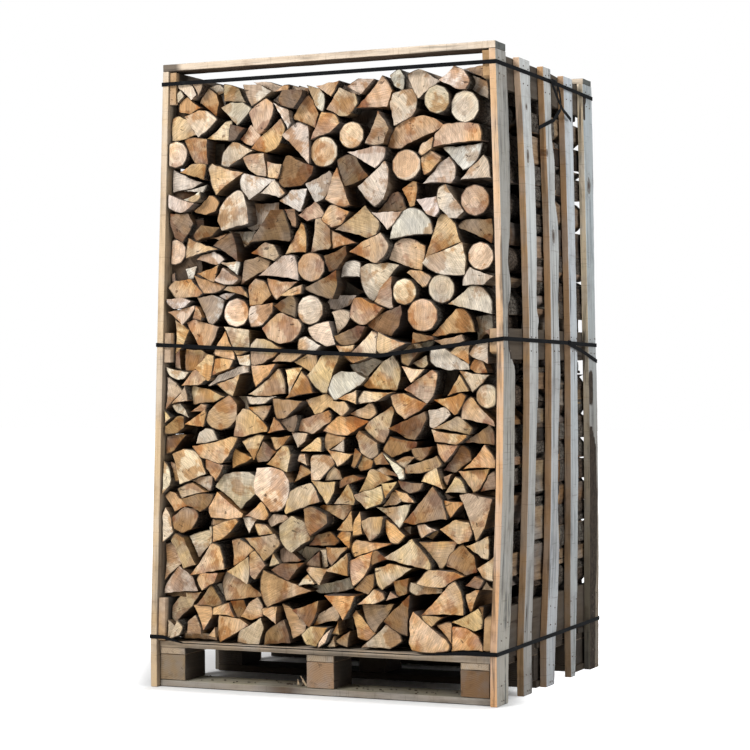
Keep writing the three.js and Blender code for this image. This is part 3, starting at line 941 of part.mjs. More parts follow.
// Firewood
const logs = readLogs();
const { all, touches } = settleLogs(logs);
const kept = all.filter((log) => log.ring.length > 2 && area(log.ring) > LEAST_SPLIT);
const place = new Map(kept.map((log, i) => [log, i]));
const keptTouches = touches
  .map((t) => ({ ...t, i: place.get(all[t.i]), j: place.get(all[t.j]) }))
  .filter((t) => t.i !== undefined && t.j !== undefined);
const CUT_ROUND_X = -500;       // rounds further left are cut by the panel and stay in the stack
kept.forEach((log) => {
  const most = area(log.ring) > LARGE_SPLIT ? MOST_CORNERS + 1 : MOST_CORNERS;
  if (log.tone !== 'R') log.ring = simplify(log.ring, most, CORNER_SHARE);
  log.own = log.tone === 'R' && log.ring[0][0] > CUT_ROUND_X;
});
joinTree(kept, keptTouches);
const splits = kept.filter((log) => !log.own);
const stack = addAll(splits.map((log) => ringPrism(log.ring, log.front, BACK_Y)));
put('firewood_stack', settled(meshOf(stack)), 'firewood');
kept.filter((log) => log.own).forEach((log, i) => {
  put(`round_log_${i + 1}`, settled(meshOf(ringPrism(log.ring, log.front, BACK_Y))), 'firewood');
});

export default group;
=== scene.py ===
"""Crate of firewood: the look of the part, built over its CAD frame. Metres, +Z up, front -Y."""

import math
import random

import bpy
import numpy as np
from mathutils import Matrix, Vector, noise


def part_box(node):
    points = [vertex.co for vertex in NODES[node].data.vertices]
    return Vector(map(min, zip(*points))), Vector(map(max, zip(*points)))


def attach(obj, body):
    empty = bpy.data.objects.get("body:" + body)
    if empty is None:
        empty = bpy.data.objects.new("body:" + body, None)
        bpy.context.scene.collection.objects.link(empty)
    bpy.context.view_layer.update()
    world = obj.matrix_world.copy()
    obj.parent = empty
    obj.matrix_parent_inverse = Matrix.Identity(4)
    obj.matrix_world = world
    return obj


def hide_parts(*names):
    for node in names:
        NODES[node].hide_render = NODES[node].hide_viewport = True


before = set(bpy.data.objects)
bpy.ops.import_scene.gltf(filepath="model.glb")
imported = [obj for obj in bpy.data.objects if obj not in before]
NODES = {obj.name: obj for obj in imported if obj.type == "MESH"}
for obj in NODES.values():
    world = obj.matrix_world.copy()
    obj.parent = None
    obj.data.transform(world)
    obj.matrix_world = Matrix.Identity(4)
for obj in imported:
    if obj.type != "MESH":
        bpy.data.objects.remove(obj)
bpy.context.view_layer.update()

MM = 0.001
# From the middle of the upright pallet to the middle of the whole part, in millimetres.
SHIFT_X = -15.0
SHIFT_Y = -10.0


# Helpers
def smooth(t):
    """Runs softly from 0 to 1 as t does."""
    t = min(1.0, max(0.0, t))
    return t * t * (3 - 2 * t)


def along(rows, at):
    """Reads a value between the rows of a two-column table."""
    if at <= rows[0][0]:
        return rows[0][1]
    for (a, u), (b, w) in zip(rows, rows[1:]):
        if at <= b:
            return u + (w - u) * (at - a) / (b - a)
    return rows[-1][1]


def srgb(*c):
    """A colour given as 0 to 255 in sRGB, as linear light."""
    return tuple(
        ((v / 255 + 0.055) / 1.055) ** 2.4 if v > 10 else v / 255 / 12.92 for v in c
    )


class Builder:
    """Collects vertices, faces and their attributes, and makes one mesh of them."""

    def __init__(self):
        self.verts = []
        self.faces = []
        self.slots = []
        self.layers = {}

    def add(self, points, **values):
        first = len(self.verts)
        self.verts.extend(points)
        for name, value in values.items():
            rows = value if isinstance(value, list) else [value] * len(points)
            self.layers.setdefault(name, []).extend(rows)
        return first

    def face(self, corners, slot):
        self.faces.append(tuple(corners))
        self.slots.append(slot)

    def build(self, name, materials, sharp=35):
        mesh = bpy.data.meshes.new(name)
        mesh.from_pydata([tuple(v) for v in self.verts], [], self.faces)
        mesh.polygons.foreach_set("material_index", self.slots)
        for m in materials:
            mesh.materials.append(m)
        for layer, rows in self.layers.items():
            width = 1 if not hasattr(rows[0], "__len__") else len(rows[0])
            kind = {1: "FLOAT", 3: "FLOAT_VECTOR"}[width]
            attribute = mesh.attributes.new(layer, kind, "POINT")
            flat = np.array(rows, np.float32).ravel()
            attribute.data.foreach_set("value" if width == 1 else "vector", flat)
        mesh.polygons.foreach_set("use_smooth", [True] * len(mesh.polygons))
        mesh.update()
        mesh.set_sharp_from_angle(angle=math.radians(sharp))
        obj = bpy.data.objects.new(name, mesh)
        bpy.context.scene.collection.objects.link(obj)
        return obj


# Shader parts
class Tree:
    """Short way to write node trees: put makes a node, the others give back what theirs put out."""

    def __init__(self, tree):
        self.tree = tree

    def put(self, kind, inputs=None, **settings):
        node = self.tree.nodes.new(kind)
        for key, value in settings.items():
            setattr(node, key, value)
        for key, value in (inputs or {}).items():
            if isinstance(value, bpy.types.NodeSocket):
                self.tree.links.new(value, node.inputs[key])
            else:
                node.inputs[key].default_value = value
        return node

    def math(self, operation, *values):
        return self.put("ShaderNodeMath", dict(enumerate(values)), operation=operation).outputs[0]

    def vmath(self, operation, *values):
        return self.put("ShaderNodeVectorMath", dict(enumerate(values)), operation=operation).outputs[0]

    def times(self, a, b):
        return self.math("MULTIPLY", a, b)

    def noise(self, vector, scale, detail=4.0, rough=0.55):
        sizes = {"Vector": vector, "Scale": scale, "Detail": detail, "Roughness": rough}
        return self.put("ShaderNodeTexNoise", sizes).outputs["Fac"]

    def ramp(self, value, low, high, a=0.0, b=1.0):
        """Runs softly from a to b as the value goes from low to high."""
        ends = {"Value": value, "From Min": low, "From Max": high, "To Min": a, "To Max": b}
        soft = {"clamp": True, "interpolation_type": "SMOOTHSTEP"}
        return self.put("ShaderNodeMapRange", ends, **soft).outputs["Result"]

    def mix(self, factor, a, b, blend="MIX"):
        a, b = [v if isinstance(v, bpy.types.NodeSocket) else (*v[:3], 1.0) for v in (a, b)]
        kind = {"data_type": "RGBA", "blend_type": blend, "clamp_factor": True}
        return self.put("ShaderNodeMix", {"Factor": factor, 6: a, 7: b}, **kind).outputs[2]

    def tinted(self, share, color, tint):
        """The colour multiplied by a tint, as far as share says."""
        return self.mix(share, color, self.mix(1.0, color, tint, "MULTIPLY"))

    def give(self, sink, **values):
        for name, value in values.items():
            self.tree.links.new(value, sink[name])

    def grey(self, value):
        return self.put("ShaderNodeCombineXYZ", {"X": value, "Y": value, "Z": value}).outputs[0]

    def length(self, vector):
        return self.put("ShaderNodeVectorMath", {0: vector}, operation="LENGTH").outputs["Value"]

    def attribute(self, name, output="Fac"):
        return self.put("ShaderNodeAttribute", attribute_name=name).outputs[output]


def new_group(name, inputs, outputs, kind="ShaderNodeTree"):
    """An empty node group, the tool that fills it, and its input and output sockets."""
    tree = bpy.data.node_groups.new(name, kind)
    for label, socket_type, value in inputs:
        socket = tree.interface.new_socket(label, in_out="INPUT", socket_type=socket_type)
        if value is not None:
            socket.default_value = value
    for label, socket_type in outputs:
        tree.interface.new_socket(label, in_out="OUTPUT", socket_type=socket_type)
    t = Tree(tree)
    source = tree.nodes.new("NodeGroupInput").outputs
    sink = tree.nodes.new("NodeGroupOutput").inputs
    return tree, t, source, sink


FLOAT, COLOR, VECTOR = "NodeSocketFloat", "NodeSocketColor", "NodeSocketVector"


def make_weather():
    """Greys and darkens a colour in soft patches, with small dark specks."""
    tree, t, src, out = new_group(
        "weathering",
        [("Color", COLOR, None), ("Vector", VECTOR, None), ("Scale", FLOAT, 8.0),
         ("Grey", FLOAT, 0.4), ("Dark", FLOAT, 0.4), ("Specks", FLOAT, 0.3)],
        [("Color", COLOR), ("Height", FLOAT)],
    )
    broad = t.noise(src["Vector"], src["Scale"], 3.0, 0.6)
    patch = t.times(t.ramp(broad, 0.4, 0.66), src["Grey"])
    faded = t.put("ShaderNodeHueSaturation", {"Saturation": 0.35, "Value": 0.92, "Color": src["Color"]})
    grey = t.mix(patch, src["Color"], faded.outputs[0])
    shifted = t.vmath("ADD", src["Vector"], (7.3, 2.1, 4.4))
    second = t.noise(shifted, t.times(src["Scale"], 1.7), 4.0, 0.65)
    dark = t.times(t.ramp(second, 0.5, 0.75), src["Dark"])
    darker = t.tinted(dark, grey, (0.34, 0.28, 0.24))
    fine = t.noise(src["Vector"], t.times(src["Scale"], 30.0), 3.0, 0.6)
    speck = t.times(t.ramp(fine, 0.62, 0.72), src["Specks"])
    result = t.tinted(speck, darker, (0.3, 0.25, 0.22))
    t.give(out, Color=result, Height=fine)
    return tree


def make_rings():
    """Growth rings, radial checks and saw marks. Grain is x and z from the pith, and a seed."""
    tree, t, src, out = new_group(
        "end grain",
        [("Grain", VECTOR, None), ("Spacing", FLOAT, 0.004), ("Checks", FLOAT, 0.7)],
        [("Rings", FLOAT), ("Checks", FLOAT), ("Saw", FLOAT), ("Height", FLOAT), ("Shade", FLOAT)],
    )
    split = t.put("ShaderNodeSeparateXYZ", {"Vector": src["Grain"]}).outputs
    seed = split["Z"]
    lift = t.vmath("MULTIPLY", src["Grain"], (1.0, 1.0, 3.0))
    warp = t.math("SUBTRACT", t.noise(lift, 22.0, 2.0), 0.5)
    flat = t.vmath("MULTIPLY", src["Grain"], (1.0, 1.0, 0.0))
    radius = t.math("ADD", t.length(flat), t.times(warp, 0.012))
    phase = t.math("DIVIDE", radius, src["Spacing"])
    wave = t.math("FRACT", phase)
    ring = t.math("POWER", wave, 3.0)
    lane = t.put("ShaderNodeCombineXYZ", {"X": t.times(radius, 60.0), "Y": seed}).outputs[0]
    broad = t.noise(lane, 1.3, 2.0, 0.6)
    angle = t.math("ARCTAN2", split["Y"], split["X"])
    turns, reach = t.times(angle, 5.0), t.times(radius, 16.0)
    axes = {"X": turns, "Y": reach, "Z": t.times(seed, 9.0)}
    spoke = t.put("ShaderNodeCombineXYZ", axes).outputs[0]
    check = t.ramp(t.noise(spoke, 1.6, 3.0, 0.6), 0.66, 0.69)
    checks = t.times(check, src["Checks"])
    angles = {"Vector": flat, "Angle": t.times(seed, 6.28)}
    turn = t.put("ShaderNodeVectorRotate", angles, rotation_type="Z_AXIS").outputs[0]
    stretched = t.vmath("MULTIPLY", turn, (24.0, 300.0, 1.0))
    saw = t.noise(t.vmath("ADD", stretched, (3.0, 5.0, 1.0)), 1.0, 2.0, 0.6)
    height = t.math("SUBTRACT", t.times(saw, 0.6), t.times(checks, 1.5))
    t.give(out, Rings=ring, Checks=checks, Saw=saw, Height=height, Shade=broad)
    return tree


def make_fibre():
    """Long grain streaks. Vector is in metres; Squeeze is how much it is pressed along each axis."""
    tree, t, src, out = new_group(
        "fibre",
        [("Vector", VECTOR, None), ("Squeeze", VECTOR, (1.0, 1.0, 1.0)),
         ("Scale", FLOAT, 90.0), ("Wave", FLOAT, 0.3)],
        [("Streaks", FLOAT), ("Broad", FLOAT), ("Height", FLOAT)],
    )
    squeezed = t.vmath("MULTIPLY", src["Vector"], src["Squeeze"])
    bend = t.times(t.math("SUBTRACT", t.noise(src["Vector"], 5.0, 2.0), 0.5), src["Wave"])
    moved = t.vmath("ADD", squeezed, t.grey(bend))
    fine = t.noise(moved, src["Scale"], 4.0, 0.65)
    broad = t.noise(moved, t.times(src["Scale"], 0.22), 3.0, 0.6)
    t.give(out, Streaks=fine, Broad=broad, Height=t.math("ADD", fine, t.times(broad, 0.7)))
    return tree


def make_knot():
    """One knot on a board's face: a dark heart and a few fine rings. Size is its half size each way."""
    tree, t, src, out = new_group(
        "knot",
        [("Vector", VECTOR, None), ("Place", VECTOR, (0.0, 0.0, 0.0)),
         ("Size", VECTOR, (0.02, 0.02, 0.02))],
        [("Heart", FLOAT), ("Rings", FLOAT)],
    )
    away = t.vmath("DIVIDE", t.vmath("SUBTRACT", src["Vector"], src["Place"]), src["Size"])
    uneven = t.times(t.math("SUBTRACT", t.noise(src["Vector"], 45.0, 2.0), 0.5), 0.6)
    reach = t.math("ADD", t.length(away), uneven)
    wave = t.math("SINE", t.times(reach, 11.0))
    inside = t.math("SUBTRACT", 1.0, t.ramp(reach, 0.8, 1.5))
    lines = t.times(t.ramp(wave, -0.6, 0.6), inside)
    t.give(out, Heart=t.math("SUBTRACT", 1.0, t.ramp(reach, 0.35, 0.75)), Rings=lines)
    return tree


WEATHER, RINGS, FIBRE, KNOT = make_weather(), make_rings(), make_fibre(), make_knot()


def new_material(name):
    material = bpy.data.materials.new(name)
    material.use_nodes = True
    material.node_tree.nodes.clear()
    return material, Tree(material.node_tree)


def use(t, group, inputs):
    return t.put("ShaderNodeGroup", inputs, node_tree=group).outputs


def finished(t, settings):
    """Ends a material with one principled shader."""
    shader = t.put("ShaderNodeBsdfPrincipled", settings)
    t.put("ShaderNodeOutputMaterial", {"Surface": shader.outputs[0]})


def bumped(t, height, strength, distance):
    relief = {"Height": height, "Strength": strength, "Distance": distance}
    return t.put("ShaderNodeBump", relief).outputs["Normal"]


def surface(t, color, rough, height, strength, distance, specular):
    bump = bumped(t, height, strength, distance)
    looks = {"Base Color": color, "Roughness": rough, "Normal": bump, "Specular IOR Level": specular}
    finished(t, looks)


def object_vector(t, seed=None):
    """Object coordinates; a seed moves each log or board to its own place in the noise."""
    place = t.put("ShaderNodeTexCoord").outputs["Object"]
    if seed is None:
        return place
    jump = t.vmath("MULTIPLY", t.grey(seed), (13.7, 5.1, 9.3))
    return t.vmath("ADD", place, jump)


def log_end_material():
    """A sawn log end. tone is its own colour; heart is how strong and how wide its darker middle is."""
    material, t = new_material("log cut end")
    grain = t.attribute("grain", "Vector")
    tone = t.attribute("tone", "Vector")
    rim = t.attribute("rim")
    seed = t.attribute("seed")
    heart = t.put("ShaderNodeSeparateXYZ", {"Vector": t.attribute("heart", "Vector")}).outputs
    place = object_vector(t, seed)
    rings = use(t, RINGS, {"Grain": grain, "Spacing": 0.006, "Checks": 0.7})
    orange = t.mix(1.0, tone, (0.74, 0.47, 0.24), "MULTIPLY")
    flat = t.vmath("MULTIPLY", grain, (1.0, 1.0, 0.0))
    wander = t.times(t.math("SUBTRACT", t.noise(place, 26.0, 3.0, 0.6), 0.5), 0.05)
    radius = t.math("ADD", t.length(flat), wander)
    edge = t.math("SUBTRACT", heart["Y"], radius)
    core = t.times(t.ramp(edge, -0.003, 0.005), heart["X"])
    base = t.mix(core, tone, orange)
    stain = t.ramp(t.noise(place, 11.0, 5.0, 0.6), 0.5, 0.57, 0.0, 0.95)
    base = t.tinted(stain, base, (0.68, 0.51, 0.36))
    beside = t.vmath("ADD", place, (3.1, 8.2, 1.7))
    pale = t.ramp(t.noise(beside, 13.0, 4.0, 0.55), 0.48, 0.57, 0.0, 0.9)
    base = t.tinted(pale, base, (1.24, 1.26, 1.29))
    apart = t.vmath("ADD", place, (9.4, 2.2, 6.5))
    knot = t.ramp(t.noise(apart, 38.0, 1.0), 0.74, 0.8, 0.0, 0.8)
    base = t.tinted(knot, base, (0.3, 0.2, 0.13))
    late = t.times(rings["Rings"], 0.4)
    base = t.tinted(late, base, (0.62, 0.5, 0.4))
    broad = t.ramp(rings["Shade"], 0.35, 0.65, 0.84, 1.1)
    sawn = t.ramp(rings["Saw"], 0.3, 0.7, 0.76, 1.16)
    for level in (broad, sawn):
        base = t.mix(1.0, base, t.grey(level), "MULTIPLY")
    looks = {"Color": base, "Vector": place, "Scale": 7.0, "Grey": 0.5, "Dark": 0.5, "Specks": 0.6}
    worn = use(t, WEATHER, looks)
    cracked = t.mix(rings["Checks"], worn["Color"], srgb(46, 34, 26))
    border = t.ramp(rim, 0.35, 0.95)
    color = t.mix(t.times(border, 0.8), cracked, srgb(52, 41, 33))
    height = t.math("ADD", rings["Height"], t.times(worn["Height"], 0.4))
    surface(t, color, 0.85, height, 0.6, 0.0014, 0.2)
    return material


def log_side_material():
    """The split face of a log: long torn fibres, its colour painted much darker than the sawn end as
    the shade of the gaps between the logs.
    """
    material, t = new_material("log split face")
    tone = t.attribute("tone", "Vector")
    seed = t.attribute("seed")
    place = object_vector(t, seed)
    fibre = use(t, FIBRE, {"Vector": place, "Squeeze": (1.0, 0.05, 1.0), "Scale": 130.0, "Wave": 0.03})
    # Painted shade: the tone is multiplied far down, and darkened more in broad patches, for the shade
    # in the gaps between logs.
    base = t.mix(1.0, tone, (0.37, 0.32, 0.27), "MULTIPLY")
    streak = t.ramp(fibre["Streaks"], 0.35, 0.7)
    base = t.tinted(streak, base, (0.5, 0.42, 0.36))
    base = t.mix(t.ramp(fibre["Broad"], 0.4, 0.7, 0.0, 0.6), base, srgb(66, 56, 47))
    looks = {"Color": base, "Vector": place, "Scale": 6.0, "Grey": 0.9, "Dark": 0.5, "Specks": 0.2}
    worn = use(t, WEATHER, looks)
    surface(t, worn["Color"], 0.88, fibre["Height"], 0.8, 0.002, 0.2)
    return material


def bark_material():
    """Plated bark with a few pale lichen spots. Its browns are dark and its creases near black, partly
    the bark's own colour and partly painted shade.
    """
    material, t = new_material("log bark")
    place = object_vector(t, t.attribute("seed"))
    narrow = t.vmath("MULTIPLY", place, (1.0, 0.35, 1.0))
    cells = t.put("ShaderNodeTexVoronoi", {"Vector": narrow, "Scale": 95.0}, feature="DISTANCE_TO_EDGE")
    plates = cells.outputs["Distance"]
    crease = t.ramp(plates, 0.0, 0.12)
    rough = t.noise(place, 60.0, 5.0, 0.7)
    pick = t.noise(place, 3.0, 1.0)
    brown = t.mix(t.ramp(pick, 0.42, 0.58), srgb(82, 68, 56), srgb(100, 94, 86))
    base = t.mix(t.ramp(rough, 0.35, 0.7), brown, srgb(50, 41, 34))
    lichen = t.ramp(t.noise(place, 26.0, 3.0, 0.6), 0.62, 0.7, 0.0, 0.4)
    base = t.mix(lichen, base, srgb(122, 122, 110))
    # Partly painted shade: the creases are drawn near black.
    color = t.mix(t.ramp(plates, 0.0, 0.05), srgb(28, 22, 18), base)
    height = t.math("ADD", crease, t.times(rough, 1.4))
    surface(t, color, 0.93, height, 0.9, 0.003, 0.15)
    return material
